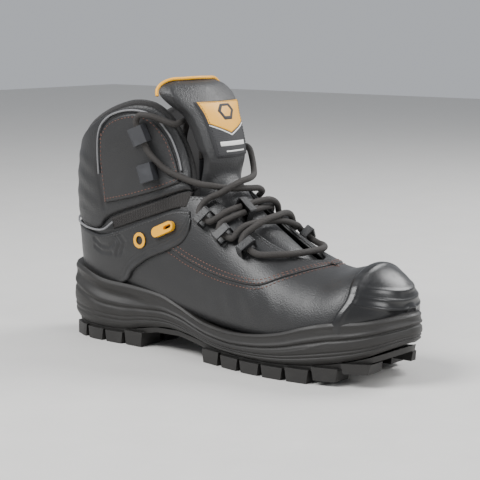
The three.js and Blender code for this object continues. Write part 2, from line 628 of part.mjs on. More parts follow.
// Leather loops along both edges of the throat hold the lace.
const loopPlaces = [[4.9, 41], [5.55, 46], [6.2, 47]];
const loopLength = 6;
const loopWide = 14;
const loopHigh = 10;
const loopWall = 1.5;
function loopSolid(station, degrees, side, wide, high, length, base, turned = false) {
  const angle = THREE.MathUtils.degToRad(side < 0 ? degrees : 360 - degrees);
  const out = skinNormal(station, angle);
  const ahead = skinPoint(station - 0.1, angle).sub(skinPoint(station + 0.1, angle)).normalize();
  const across = new THREE.Vector3().crossVectors(out, ahead);
  const at = skinPoint(station, angle).addScaledVector(out, base);
  const frame = new THREE.Matrix4().makeBasis(across, out, ahead).setPosition(at);
  const outer = new THREE.Shape();
  const bevel = 1.2;
  const w = wide / 2;
  const corners = [
    [-w, 0], [w, 0], [w, high - bevel], [w - bevel, high], [-w + bevel, high], [-w, high - bevel],
  ];
  outer.setFromPoints(corners.map(([a, b]) => new THREE.Vector2(a, b)));
  const holeHalf = w - loopWall;
  const holeTop = high - loopWall;
  const hole = [[-holeHalf, loopWall], [-holeHalf, holeTop], [holeHalf, holeTop], [holeHalf, loopWall]];
  outer.holes.push(new THREE.Path(hole.map(([a, b]) => new THREE.Vector2(a, b))));
  const geometry = new THREE.ExtrudeGeometry(outer, { depth: length, bevelEnabled: false });
  geometry.translate(0, 0, -length / 2);
  if (turned) geometry.rotateY(Math.PI / 2);
  geometry.applyMatrix4(frame);
  return solidOf(geometry);
}
for (const [name, side] of sides) {
  loopPlaces.forEach(([station, degrees], i) => {
    const loop = loopSolid(station, degrees, side, loopWide, loopHigh, loopLength, 0.6);
    add(`lace_loop_${name}_${i + 1}`, loop, softLeather);
  });
}

// ---------------------------------------------------------------- tongue
// Below the fold the tongue lies under the facing, from the toe end of the throat to the front of the ankle.
const tongueEdge = 42; // degrees round the skin
const tongueUnder = -6; // its outside, where it lies under the facing
const tongueRows = 15;
const tongueColumns = 8;
function tongueArc(station, inner) {
  return Array.from({ length: tongueColumns + 1 }, (_, i) => {
    const share = (i / tongueColumns) * 2 - 1;
    const edge = THREE.MathUtils.degToRad(tongueEdge);
    const angle = (-share * edge + 2 * Math.PI) % (2 * Math.PI);
    const slot = THREE.MathUtils.degToRad(10 + (station - 3.85) * 7.5);
    const rise = Math.max(0, 1 - ((share * edge) / slot) ** 2) * 5.2 * ramp(station, 3.85, 4.6);
    const thick = tongueThickness * (0.25 + 0.45 * (1 - share ** 2)) * (0.5 + 0.5 * ramp(station, 3.85, 4.6));
    const head = 5 * ramp(station, 6, 7) * (1 - share ** 2);
    return skin(station, angle, tongueUnder + rise + head - (inner ? thick : 0));
  });
}
const tongueStations = Array.from({ length: tongueRows }, (_, row) => 3.85 + (row / (tongueRows - 1)) * 3.15);
const tongueLowerOutside = tongueStations.map((station) => tongueArc(station, false));
const tongueLowerInside = tongueStations.map((station) => tongueArc(station, true));
add("tongue_lower", plate(tongueLowerOutside, tongueLowerInside), softLeather);

// Above the fold it stands free. Rows: z, then x of the middle of its front, and x and half width of its
// shoulder and its edge.
const tongueUpperRows = [
  [141, -10, -13, 18, -20, 20], [150, -12, -15, 20.5, -24, 22], [162, -16, -19, 22, -29, 23],
  [173, -20, -24, 24, -35, 25.5], [181, -24, -29, 28, -43, 32], [188, -29, -35, 30, -48, 36],
  [194, -34, -40, 26, -49, 33], [197, -40, -43, 18, -48, 25],
];
const tongueOutlines = tongueUpperRows.map(([z, middle, shoulderX, shoulderY, edgeX, edgeY]) => {
  const outerX = (edgeX + shoulderX) / 2 + 1;
  const outerY = (edgeY + shoulderY) / 2 + 1.5;
  const half = [[shoulderX, shoulderY], [outerX, outerY], [edgeX, edgeY]];
  const outline = [...half.map(([x, y]) => [x, -y]).reverse(), [middle, 0], ...half];
  return through(outline.map(([x, y]) => new THREE.Vector3(x * lengthScale, y * widthScale, z * heightScale)));
});
const tongueFront = tongueOutlines.map((outline) => outline.getPoints(14));
const tongueBack = tongueOutlines.map((outline, row) => {
  const slim = row === tongueOutlines.length - 1 ? 0.45 : 1;
  return tongueFront[row].map((point, i) => {
    const share = (i / 14) * 2 - 1;
    const tangent = outline.getTangent(i / 14);
    const thick = tongueThickness * slim * (0.35 + 0.65 * (1 - share ** 4));
    return new THREE.Vector3(point.x - tangent.y * thick, point.y + tangent.x * thick, point.z);
  });
});
add("tongue_upper", plate(tongueFront, tongueBack), softLeather);

// The patch on the tongue's front, one row per row of the tongue, from its outline's middle part.
const labelThickness = 1.2;
const labelFrom = 0.3;
const labelTo = 0.7;
function labelRow(outline, lift) {
  return Array.from({ length: 7 }, (_, i) => {
    const share = labelFrom + ((labelTo - labelFrom) * i) / 6;
    const point = outline.getPoint(share);
    const tangent = outline.getTangent(share);
    return new THREE.Vector3(point.x + tangent.y * lift, point.y - tangent.x * lift, point.z);
  });
}
const labelOutlines = tongueOutlines.slice(0, 5);
const labelFront = labelOutlines.map((outline) => labelRow(outline, 0.4 + labelThickness));
const labelBack = labelOutlines.map((outline) => labelRow(outline, 0.4));
add("tongue_label", plate(labelFront, labelBack), yellow);

// ---------------------------------------------------------------- piping
const pipingDiameter = 1.6;
const tonguePipingDiameter = 2.4;
const scaled = ([x, y, z]) => new THREE.Vector3(x * lengthScale, y * widthScale, z * heightScale);
const halfTonguePiping = [
  [-49, 38.4, 187], [-50.5, 37.4, 191.5], [-50, 34, 196.4], [-47.5, 26, 199.2], [-44, 13, 199.2],
];
const tonguePiping = [
  ...halfTonguePiping.map(([x, y, z]) => [x, -y, z]),
  [-42, 0, 199.2],
  ...halfTonguePiping.slice().reverse(),
];
add("tongue_piping", roll(tonguePiping.map(scaled), tonguePipingDiameter, 24), yellow);

const above = (side, lift) => ([x, z]) => {
  const { station, angle } = find(x, z, side);
  return skin(station, angle, swell(station, angle) + lift);
};
const cuffPiping = [
  [-103, 128], [-102, 157], [-94, 169.3], [-79, 175.4], [-64, 175.9], [-53.5, 170.8], [-46, 159], [-40, 145],
  [-34.5, 132],
];
for (const [name, side] of sides) {
  add(`cuff_piping_${name}`, roll(cuffPiping.map(above(side, 1.4)), pipingDiameter, 20), reflective);
}
const heelPiping = [[-92, 92], [-103, 85.5], [-119, 85], [-130, 86.5], [-139, 88], [-145, 89]];
const pipingLift = gap + overlayThickness + pipingDiameter / 2 + 0.5;
const onCage = (side) => ([x, z]) => {
  const { station, angle } = find(x, z, side);
  return skin(station, angle, pipingLift);
};
const heelBack = find(-148, 89.5, -1);
const heelPipingPath = [
  ...heelPiping.map(onCage(-1)),
  skin(heelBack.station, Math.PI, pipingLift),
  ...heelPiping.map(onCage(1)).reverse(),
];
add("heel_piping", roll(heelPipingPath, pipingDiameter, 26), reflective);

// ---------------------------------------------------------------- lace
// A leather keeper on the tongue holds both middle crossings of the lace.
add("tongue_keeper", loopSolid(5.66, 12, -1, 15.5, 11, 6, -1.6, true), softLeather);

// One lace, from its end tucked behind the tongue on the outer side, over the cuff to the upper hook, down
// through the loops in crossings, round the toe end of the throat, and back up to the inner upper hook.
const lacePoints = [
  // the end behind the tongue, over the cuff, and down through the outer upper hook
  [-46, -9, 138], [-47, -10, 147], [-47.5, -9.5, 156], [-45.5, -9.5, 163.5], [-41, -14, 168.5],
  [-38, -22, 168.5], [-38, -31.5, 167],
  [-44, -37.5, 170], [-51, -43, 173], [-58.5, -46, 173], [-61.5, -46, 168.5], [-58, -44.5, 159.5],
  // across the ankle to the third inner loop
  [-56, -43.5, 153], [-52.5, -42.5, 146.5], [-47, -40.5, 140.5], [-41, -37, 134.5],
  [-28, -32, 128.5], [-15.5, -28.5, 125], [-9, -24.5, 124], [-3, -18.5, 122.5], [1, -9.5, 121.5],
  [3, 5, 120.5], [2.5, 16, 119.5], [0.5, 22.5, 117], [-5, 28, 114], [-10, 31.5, 110.5], [-10, 34, 105.5],
  [-5.5, 34.5, 103], [-2.5, 34.5, 101.5],
  // to the second outer loop
  [1.5, 32.5, 102], [5, 28, 104.5], [9.5, 21.5, 106], [13.5, 13, 107], [16, 4, 107.5], [17, -6, 107],
  [16.5, -14, 106.5], [14.5, -22, 105], [11.5, -29, 102.5], [8.5, -34.5, 99.5], [9.5, -38, 95.5],
  [13.5, -38.5, 93], [17, -39, 91.5],
  // to the first inner loop
  [21.5, -38, 90.5], [22.5, -34.5, 94], [24.5, -28.5, 98], [26.5, -20, 99.5], [28, -11.5, 100],
  [29.5, 0, 99.5], [30.5, 9, 98.5], [31, 16.5, 96.5], [30, 23.5, 94.5], [28.5, 29.5, 92.5],
  [29.5, 33.5, 88], [33.5, 34, 85.5],
  // round the toe end of the throat to the first outer loop
  [38, 34, 83], [44, 33, 81], [53, 27, 81], [61, 17, 81], [65, 0, 81.5], [61, -19, 81], [53, -30, 81],
  [44, -36.5, 81], [38, -37.5, 83], [33.5, -37.5, 85.5],
  // to the second inner loop
  [29.5, -37.5, 88], [28.5, -33, 93], [30.5, -27, 97], [32.5, -19.5, 100.5], [33, -12, 102.5],
  [32, 0, 103.5], [30.5, 11, 104], [28.5, 19, 102.5], [25, 26.5, 99], [22.5, 32, 93.5], [21.5, 35.5, 90],
  [17, 36, 91], [13.5, 35.5, 93],
  // to the third outer loop
  [9.5, 35, 95.5], [9.5, 31, 101.5], [13, 25, 107], [16, 17, 111], [17, 9, 113], [15.5, 0, 112.5],
  [12.5, -11, 110.5], [11, -22.5, 109], [8, -30, 106.5], [5, -35, 103], [1, -38, 100.5],
  [-2.5, -38, 101.5], [-5.5, -37.5, 103],
  // across the ankle, up beside the tongue and through the inner upper hook
  [-9.5, -37, 105.5], [-10.5, -34, 110], [-7, -29.5, 115.5], [-1.5, -23.5, 119], [3.5, -17, 123.5],
  [5.5, -7, 127], [4.5, 2, 128], [0.5, 11, 128.5], [-6, 21, 130], [-15.5, 31, 138.5], [-25, 38.5, 146],
  [-36, 43, 146.5], [-45, 43.5, 143], [-52, 42.3, 146.5], [-56.5, 42.4, 153], [-58, 43.5, 159.5],
  // over the cuff and in behind the tongue
  [-61.5, 45.5, 168.5], [-58.5, 45.5, 173], [-51, 42.5, 173], [-44, 37, 170], [-38, 31, 167],
  [-38, 22, 168.5], [-41, 14, 168.5], [-45.5, 9.5, 163.5], [-47.5, 9.5, 156], [-47, 10, 147], [-46, 9, 138],
];
const lacePath = lacePoints.map((point) => new THREE.Vector3(...point));
add("lace", roll(lacePath, laceDiameter, 104, 8), cordFabric);
const agletLength = 16;
const agletDiameter = 4.2;
[["lateral", lacePath[0]], ["medial", lacePath.at(-1)]].forEach(([name, end]) => {
  const frame = new THREE.Matrix4().makeTranslation(end.x, end.y, end.z - 0.4 - agletLength);
  add(`aglet_${name}`, barrel(agletDiameter, 0, agletLength, frame), blackSteel);
});

// The sole bulges more on its outer side: this brings the middle of its whole width over the origin.
const outerBulge = 2.4;
boot.position.y = outerBulge * widthScale;

export default boot;
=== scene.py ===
# %% [markdown]
# # Steel toe work boot
# A laced work boot is sewn from flat leather panels over a foot-shaped form, then glued to a moulded sole.
# This lesson follows the same order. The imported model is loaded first: its pieces hold the true sizes, and
# everything below either gives one of them a finish or stands in for it with a finer surface.

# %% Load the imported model
import math

import bmesh
import bpy
import numpy as np
from mathutils import Matrix, Vector


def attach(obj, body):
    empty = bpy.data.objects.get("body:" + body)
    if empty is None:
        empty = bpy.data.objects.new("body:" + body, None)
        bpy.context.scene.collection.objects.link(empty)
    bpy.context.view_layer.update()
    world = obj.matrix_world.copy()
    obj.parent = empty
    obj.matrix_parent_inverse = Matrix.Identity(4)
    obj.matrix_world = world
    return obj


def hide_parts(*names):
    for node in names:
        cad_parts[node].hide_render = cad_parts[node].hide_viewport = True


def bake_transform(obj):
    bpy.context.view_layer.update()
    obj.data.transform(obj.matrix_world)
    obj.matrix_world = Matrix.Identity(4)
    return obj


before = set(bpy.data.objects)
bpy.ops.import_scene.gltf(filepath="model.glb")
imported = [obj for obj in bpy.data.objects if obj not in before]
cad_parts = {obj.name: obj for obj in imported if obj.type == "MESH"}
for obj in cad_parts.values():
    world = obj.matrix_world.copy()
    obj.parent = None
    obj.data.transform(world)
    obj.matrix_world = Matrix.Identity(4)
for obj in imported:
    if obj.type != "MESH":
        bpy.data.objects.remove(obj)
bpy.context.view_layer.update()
MIDDLE = 2.4  # mm, how far the boot's own middle plane lies from the frame's, towards the inner side
SIDES = (("lateral", -1), ("medial", 1))


def metres(point):
    """A point of the boot in millimetres, as a place in the frame."""
    return Vector((point[0] / 1000, (point[1] + MIDDLE) / 1000, point[2] / 1000))


# %% [markdown]
# ## Camera
# A product view from the front of the outer side, a little above the toe. A long lens keeps the sole's edge
# from bending, so the camera stands more than a metre away. Its place is worked out from two angles, which
# is easier to change than three coordinates.

# %% Camera
AZIMUTH, ELEVATION = math.radians(38.95), math.radians(8.64)
TARGET = metres((6.9, -11.3, 84.7))
DISTANCE = 1.0698
back = Vector((
    math.sin(AZIMUTH) * math.cos(ELEVATION),
    -math.cos(AZIMUTH) * math.cos(ELEVATION),
    math.sin(ELEVATION),
))
camera = bpy.data.objects.new("camera", bpy.data.cameras.new("camera"))
camera.data.sensor_width = 36
camera.data.lens = 111.6
camera.location = TARGET + back * DISTANCE
camera.rotation_euler = back.to_track_quat("Z", "Y").to_euler()
bpy.context.scene.collection.objects.link(camera)
bpy.context.scene.camera = camera
print("camera at", [round(v, 3) for v in camera.location])

# %% [markdown]
# ## Finishes: shared effects
# Leather, moulded rubber and cloth each repeat over many pieces. Each effect is a node group with named
# inputs, built once. It only gives out masks and heights; the Principled shader stays in each material,
# where its sheen and coat can be set as plain numbers.

# %% Node groups
def effect(name, inputs, outputs):
    """An empty shader group with number sockets. Returns the tree and its two end nodes."""
    tree = bpy.data.node_groups.new(name, "ShaderNodeTree")
    for label, value in inputs:
        socket = tree.interface.new_socket(name=label, in_out="INPUT", socket_type="NodeSocketFloat")
        socket.default_value = value
    for label in outputs:
        tree.interface.new_socket(name=label, in_out="OUTPUT", socket_type="NodeSocketFloat")
    return tree, tree.nodes.new("NodeGroupInput"), tree.nodes.new("NodeGroupOutput")


def maths(tree, kind, a, b=0.0, c=0.0):
    """A Math node. Each input is a number or another node's output."""
    node = tree.nodes.new("ShaderNodeMath")
    node.operation = kind
    for socket, value in zip(node.inputs, (a, b, c)):
        if isinstance(value, (int, float)):
            socket.default_value = value
        else:
            tree.links.new(value, socket)
    return node.outputs[0]


def noise(tree, place, scale, detail=3.0):
    node = tree.nodes.new("ShaderNodeTexNoise")
    node.inputs["Detail"].default_value = detail
    tree.links.new(place, node.inputs["Vector"])
    if isinstance(scale, (int, float)):
        node.inputs["Scale"].default_value = scale
    else:
        tree.links.new(scale, node.inputs["Scale"])
    return node.outputs["Fac"]


# Grain: fine cells for the pores, wide noise for the tone, and a mask for scuffed places.
grain, grain_in, grain_out = effect(
    "grain", [("Cells per metre", 1100.0), ("Creasing", 0.3)], ["Height", "Tone", "Scuff"]
)
grain_place = grain.nodes.new("ShaderNodeTexCoord").outputs["Object"]
cells = grain.nodes.new("ShaderNodeTexVoronoi")
cells.feature = "F1"
grain.links.new(grain_place, cells.inputs["Vector"])
grain.links.new(grain_in.outputs["Cells per metre"], cells.inputs["Scale"])
creases = noise(grain, grain_place, 160.0, 6.0)
grain.links.new(
    maths(grain, "MULTIPLY_ADD", creases, grain_in.outputs["Creasing"], cells.outputs["Distance"]),
    grain_out.inputs["Height"],
)
grain.links.new(noise(grain, grain_place, 22.0, 5.0), grain_out.inputs["Tone"])
scuffs = maths(grain, "MULTIPLY_ADD", noise(grain, grain_place, 70.0, 9.0), 6.0, -3.4)
grain.links.new(maths(grain, "MINIMUM", maths(grain, "MAXIMUM", scuffs, 0.0), 1.0), grain_out.inputs["Scuff"])

# Weave: two waves across each other. It reads the piece's own coordinates, in metres.
weave, weave_in, weave_out = effect("weave", [("Threads per metre", 700.0)], ["Height", "Tone", "Scuff"])
weave_place = weave.nodes.new("ShaderNodeTexCoord").outputs["Object"]
parts = weave.nodes.new("ShaderNodeSeparateXYZ")
weave.links.new(weave_place, parts.inputs[0])
turns = maths(weave, "MULTIPLY", weave_in.outputs["Threads per metre"], 2 * math.pi)
one_way = maths(weave, "ADD", parts.outputs[0], parts.outputs[1])
other_way = maths(weave, "SUBTRACT", parts.outputs[2], parts.outputs[1])
along = maths(weave, "SINE", maths(weave, "MULTIPLY", one_way, turns))
across = maths(weave, "SINE", maths(weave, "MULTIPLY", other_way, turns))
crossed = maths(weave, "MULTIPLY", along, across)
weave.links.new(maths(weave, "MULTIPLY_ADD", crossed, 0.5, 0.5), weave_out.inputs["Height"])
weave.links.new(noise(weave, weave_place, 60.0, 4.0), weave_out.inputs["Tone"])
weave.links.new(noise(weave, weave_place, 300.0, 4.0), weave_out.inputs["Scuff"])
print("groups", [tree.name for tree in bpy.data.node_groups])


# %% [markdown]
# ## Finishes: the materials
# Black is never quite black: each material has its own dark tone, shifted by wide noise and lightened where
# it is scuffed. Roughness follows the same masks, so highlights break up as they do on worn leather. The
# height goes through a Bump node, with its distance in metres, so the grain has a real depth.

# %% Materials
def finish(name, colour, roughness, surface, values=None, depth=0.0001, vary=0.25, scuff=0.25, **constants):
    """A Principled material with one shared effect on its colour, roughness and bump."""
    made = bpy.data.materials.new(name)
    made.use_nodes = True
    tree = made.node_tree
    shader = tree.nodes["Principled BSDF"]
    for socket, value in constants.items():
        shader.inputs[socket.replace("_", " ").title()].default_value = value
    group = tree.nodes.new("ShaderNodeGroup")
    group.node_tree = surface
    for socket, value in (values or {}).items():
        group.inputs[socket].default_value = value
    tone = tree.nodes.new("ShaderNodeMix")
    tone.data_type = "RGBA"
    tone.inputs["A"].default_value = (*[c * (1 - vary) for c in colour], 1)
    tone.inputs["B"].default_value = (*[c * (1 + vary) for c in colour], 1)
    tree.links.new(group.outputs["Tone"], tone.inputs["Factor"])
    worn = tree.nodes.new("ShaderNodeMix")
    worn.data_type = "RGBA"
    worn.inputs["B"].default_value = (*[c * 1.5 + 0.012 for c in colour], 1)
    tree.links.new(tone.outputs["Result"], worn.inputs["A"])
    tree.links.new(maths(tree, "MULTIPLY", group.outputs["Scuff"], scuff), worn.inputs["Factor"])
    tree.links.new(worn.outputs["Result"], shader.inputs["Base Color"])
    rough = maths(tree, "MULTIPLY_ADD", group.outputs["Tone"], 0.2, roughness - 0.1)
    rougher = maths(tree, "MULTIPLY_ADD", group.outputs["Scuff"], scuff * 0.3, rough)
    tree.links.new(rougher, shader.inputs["Roughness"])
    bump = tree.nodes.new("ShaderNodeBump")
    bump.inputs["Distance"].default_value = depth
    tree.links.new(group.outputs["Height"], bump.inputs["Height"])
    tree.links.new(bump.outputs["Normal"], shader.inputs["Normal"])
    return made


LEATHER = finish(
    "smooth_leather", (0.016, 0.016, 0.0165), 0.44, grain, {"Creasing": 0.5}, 0.00012, sheen_weight=0.04
)
SOFT = finish(
    "padded_leather", (0.013, 0.013, 0.0137), 0.48, grain, {"Cells per metre": 900.0, "Creasing": 0.9},
    0.00018,
    sheen_weight=0.04,
)
RUBBER = finish(
    "matte_rubber", (0.0155, 0.0145, 0.0135), 0.52, grain, {"Cells per metre": 2400.0}, 0.00005, scuff=0.5
)
GLOSS = finish(
    "glossy_rubber", (0.012, 0.012, 0.0125), 0.3, grain, {"Cells per metre": 1700.0}, 0.00004, scuff=0.5
)
MESH = finish("woven_mesh", (0.019, 0.018, 0.018), 0.85, weave, {}, 0.0004, vary=0.4, sheen_weight=0.12)
RIBBED = finish(
    "ribbed_band", (0.02, 0.018, 0.017), 0.8, weave, {"Threads per metre": 500.0}, 0.0003, vary=0.5
)
BRAID = finish(
    "braided_lace", (0.026, 0.023, 0.021), 0.75, weave, {"Threads per metre": 900.0}, 0.0001, vary=0.4
)
THREAD = finish(
    "brown_thread", (0.15, 0.07, 0.052), 0.7, weave, {"Threads per metre": 2000.0}, 0.0001, vary=0.4
)
DARK_THREAD = finish(
    "black_thread", (0.05, 0.048, 0.047), 0.65, weave, {"Threads per metre": 2000.0}, 0.0001, vary=0.4
)
YELLOW = finish(
    "yellow_vinyl", (0.88, 0.42, 0.012), 0.42, grain, {"Cells per metre": 1500.0}, 0.00004, vary=0.1,
    scuff=0.1
)
WHITE = finish(
    "white_vinyl", (0.75, 0.75, 0.73), 0.5, weave, {"Threads per metre": 1200.0}, 0.00004, vary=0.06,
    scuff=0.1
)
BLACK_LABEL = finish("black_label", (0.018, 0.018, 0.02), 0.6, weave, {"Threads per metre": 1000.0}, 0.0001)
REFLECTIVE = finish(
    "reflective_tape", (0.17, 0.17, 0.175), 0.38, weave, {"Threads per metre": 1500.0}, 0.00004, vary=0.1
)
STEEL = finish(
    "bare_steel", (0.5, 0.51, 0.53), 0.35, grain, {"Cells per metre": 3000.0}, 0.00002, vary=0.08,
    metallic=1.0
)
BLACK_STEEL = finish(
    "black_steel", (0.035, 0.036, 0.04), 0.4, grain, {"Cells per metre": 2600.0}, 0.00004, scuff=0.6
)
FIBRE = finish("pressed_fibre", (0.26, 0.18, 0.1), 0.9, grain, {"Cells per metre": 2000.0}, 0.0001, vary=0.2)
FELT = finish(
    "felt_footbed", (0.06, 0.06, 0.064), 0.95, grain, {"Cells per metre": 1500.0}, 0.0002, sheen_weight=0.4
)
print("materials", len(bpy.data.materials))

# %% [markdown]
# ## The skin
# The shoemaker's last gives the boot its shape. Here it is a table of cross-sections from the toe to the
# top of the shaft, joined by smooth curves. A place on it is a station, 0 at the toe and 12 at the top, and
# an angle, 0 at the front, half a turn at the heel. Every panel is laid on this one surface, so neighbours
# fit without measuring.

# %% The sections and the curve through them
SECTIONS = np.array([
    # front x, z, back x, z, outer and inner half width, widest share, squareness of front and back
    [143, 46, 143, 46, 0, 0, 0.6, 2, 2],
    [138, 64, 136, 32, 26, 19, 0.6, 2, 2.4],
    [118, 76, 116, 21, 43, 35, 0.64, 2, 3],
    [92, 72, 90, 18, 48.5, 43, 0.7, 2.1, 3],
    [62, 78, 58, 18, 50, 44.5, 0.72, 2.4, 3],
    [30, 94, 24, 19, 47, 41.5, 0.72, 2.6, 3],
    [4, 113, -20, 23, 42.5, 38.5, 0.7, 2.6, 3],
    [-16, 132, -80, 30, 38.5, 36.5, 0.64, 2.5, 3],
    [-26, 149, -134, 37, 37, 36, 0.56, 2.4, 2.6],
    [-32, 164, -149, 72, 37, 36, 0.5, 2.4, 2.2],
    [-36, 177, -147, 115, 39, 38, 0.5, 2.5, 2.2],
    [-39, 189, -141, 158, 40, 40, 0.5, 2.5, 2.2],
    [-41, 200, -138, 195, 41, 41, 0.5, 2.5, 2.2],
], float)
LAST = len(SECTIONS) - 1


def smooth(rows, where):
    """Catmull-Rom values of a table at positions counted in rows."""
    rows = np.asarray(rows, float)
    where = np.clip(np.asarray(where, float), 0, len(rows) - 1 - 1e-9)
    i = where.astype(int)
    w = (where - i)[..., None]
    ends = np.vstack([2 * rows[0] - rows[1], rows, 2 * rows[-1] - rows[-2]])
    p0, p1, p2, p3 = ends[i], ends[i + 1], ends[i + 2], ends[i + 3]
    m1, m2 = (p2 - p0) / 2, (p3 - p1) / 2
    return p1 + m1 * w + (3 * (p2 - p1) - 2 * m1 - m2) * w**2 + (2 * (p1 - p2) + m1 + m2) * w**3


def spread(points, count, bend=True):
    """Points at even distances along a line, which is first rounded through its corners."""
    points = np.asarray(points, float)
    fine = smooth(points, np.linspace(0, len(points) - 1, 24 * len(points))) if bend else points
    walked = np.concatenate([[0], np.cumsum(np.linalg.norm(np.diff(fine, axis=0), axis=1))])
    at = np.linspace(0, walked[-1], count)
    return np.stack([np.interp(at, walked, fine[:, k]) for k in range(fine.shape[1])], axis=1)


# %% A point of the skin, and the way out of it
def skin_point(station, angle):
    row = smooth(SECTIONS, station)
    cos, sin = np.cos(angle), np.sin(angle)
    power = np.maximum(2, np.where(cos > 0, row[..., 7], row[..., 8]))
    reach = np.abs(cos) ** (2 / power)
    widest = row[..., 6]
    down = np.where(cos > 0, widest * (1 - reach), widest + (1 - widest) * reach)
    half = np.where(sin > 0, -np.maximum(0, row[..., 4]), np.maximum(0, row[..., 5]))
    x = row[..., 0] + (row[..., 2] - row[..., 0]) * down
    z = row[..., 1] + (row[..., 3] - row[..., 1]) * down
    return np.stack([x, half * np.abs(sin) ** (2 / power), z], axis=-1)


def skin_normal(station, angle):
    station = np.clip(station, 0.05, LAST)
    step = 0.03
    ahead = skin_point(station + step, angle) - skin_point(station - step, angle)
    round_ = skin_point(station, angle + step) - skin_point(station, angle - step)
    out = np.cross(ahead, round_)
    return out / np.maximum(1e-9, np.linalg.norm(out, axis=-1, keepdims=True))


def skin(station, angle, offset=0.0):
    offset = np.asarray(offset, float)
    return skin_point(station, angle) + skin_normal(station, angle) * offset[..., None]


# %% [markdown]
# Pattern pieces are drawn in side view, as a shoemaker draws them. To lay a drawn line on the skin, each of
# its points needs its station and angle. A table of the whole skin gives the nearest place, and a few
# smaller and smaller steps bring it exactly under the drawn point.

# %% From a side view drawing to the skin
TABLE_STATIONS, TABLE_ANGLES = np.meshgrid(
    np.arange(0.1, LAST, 0.06), np.radians(np.arange(2, 179, 1.0)), indexing="ij"
)
TABLE = skin_point(TABLE_STATIONS, TABLE_ANGLES)
STEPS = np.array([[i, j] for i in (-1, 0, 1) for j in (-1, 0, 1)], float)


def find(points):
    """Station and angle on the outer side for each side view point (x, z)."""
    found = []
    for x, z in np.asarray(points, float):
        near = np.argmin(np.hypot(TABLE[..., 0] - x, TABLE[..., 2] - z))
        best = np.array([TABLE_STATIONS.flat[near], TABLE_ANGLES.flat[near]])
        step = 0.04
        while step > 1e-4:
            tries = best + STEPS * step * np.array([1, 0.5])
            tries[:, 0] = np.clip(tries[:, 0], 0.01, LAST - 0.01)
            tries[:, 1] = np.clip(tries[:, 1], 0.0, math.pi)
            there = skin_point(tries[:, 0], tries[:, 1])
            miss = np.hypot(there[:, 0] - x, there[:, 2] - z)
            pick = np.argmin(miss)
            step = step / 2 if miss[pick] > miss[4] - 1e-6 else step
            best = tries[pick]
        found.append(best)
    return np.array(found)


def line(points, count, bend=True, to_heel=False, to_top=False):
    """A drawn line on the skin. It may end exactly on the middle of the heel, or of the instep."""
    placed = find(spread(points, count, bend))
    if to_heel:
        placed[-1, 1] = math.pi
    if to_top:
        placed[-1, 1] = 0.0
    return placed


def mirrored(placed):
    return np.stack([placed[:, 0], 2 * math.pi - placed[:, 1]], axis=1)


def both_sides(placed):
    """A line from the outer side on round the heel or the instep to the inner side."""
    return np.vstack([placed, mirrored(placed)[::-1][1:]])


# %% [markdown]
# ## Making a panel
# A panel is a grid stretched between a lower and an upper line. `bmesh.ops.create_grid` makes the faces,
# and each corner is moved to its place on the skin. A cut edge of leather is rounded, so the height falls
# away near the border. A Solidify modifier gives the sheet its real thickness.

# %% Grid and panel helpers
def keep(mesh_data, name, material, body="boot", soft=True):
    """A finished bmesh as a piece that rides on a body."""
    mesh = bpy.data.meshes.new(name)
    mesh_data.to_mesh(mesh)
    mesh_data.free()
    mesh.polygons.foreach_set("use_smooth", [soft] * len(mesh.polygons))
    piece = bpy.data.objects.new(name, mesh)
    bpy.context.scene.collection.objects.link(piece)
    mesh.materials.append(material)
    if body:
        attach(piece, body)
    return piece


def drape(place, columns, rows, outward=None, solid=False):
    """A grid whose corners go where place(u, v) says, in millimetres. Its UV is (u, v)."""
    made = bmesh.new()
    bmesh.ops.create_grid(made, x_segments=columns, y_segments=rows, size=0.5)
    made.verts.ensure_lookup_table()
    uv = np.array([(v.co.x + 0.5, v.co.y + 0.5) for v in made.verts])
    layer = made.loops.layers.uv.new("UVMap")
    for face in made.faces:
        for loop in face.loops:
            loop[layer].uv = (loop.vert.co.x + 0.5, loop.vert.co.y + 0.5)
    points = place(uv[:, 0], uv[:, 1])
    for vert, point in zip(made.verts, points):
        vert.co = metres(point)
    if outward is not None:
        ways = outward(uv[:, 0], uv[:, 1])
        made.normal_update()
        if sum(v.normal.dot(Vector(way)) for v, way in zip(made.verts, ways)) < 0:
            bmesh.ops.reverse_faces(made, faces=made.faces[:])
    bmesh.ops.remove_doubles(made, verts=made.verts, dist=2e-5)
    bmesh.ops.dissolve_degenerate(made, edges=made.edges, dist=1e-6)
    if solid:
        open_edges = [edge for edge in made.edges if edge.is_boundary]
        if open_edges:
            bmesh.ops.holes_fill(made, edges=open_edges, sides=0)
        bmesh.ops.recalc_face_normals(made, faces=made.faces)
    return made


class Panel:
    """The place of a panel between two lines on the skin, with its edge distances."""

    def __init__(self, low, high, rows):
        self.low, self.high, self.rows = low, high, rows
        self.v = np.linspace(0, 1, rows + 1)
        station = low[:, None, 0] + (high[:, None, 0] - low[:, None, 0]) * self.v
        angle = low[:, None, 1] + (high[:, None, 1] - low[:, None, 1]) * self.v
        self.place = np.stack([station, angle], axis=-1)
        self.points = skin_point(station, angle)
        rise = np.linalg.norm(np.diff(self.points, axis=1), axis=2)
        run = np.linalg.norm(np.diff(self.points, axis=0), axis=2)
        self.up = np.concatenate([np.zeros((len(low), 1)), np.cumsum(rise, axis=1)], axis=1)
        self.along = np.concatenate([np.zeros((1, rows + 1)), np.cumsum(run, axis=0)], axis=0)

    def edge_distance(self, ends=True, lower=True, upper=True):
        far = np.full(self.up.shape, 1e6)
        if lower:
            far = np.minimum(far, self.up)
        if upper:
            far = np.minimum(far, self.up[:, -1:] - self.up)
        if ends:
            far = np.minimum(far, np.minimum(self.along, self.along[-1:] - self.along))
        return far

    def inset(self, side, distance):
        """The line inside the panel at a distance from its low or high border."""
        width = self.up[:, -1]
        share = np.clip(distance / np.maximum(width, 1e-6), 0, 0.5)
        share = share if side == "low" else 1 - share
        return self.low + (self.high - self.low) * share[:, None]


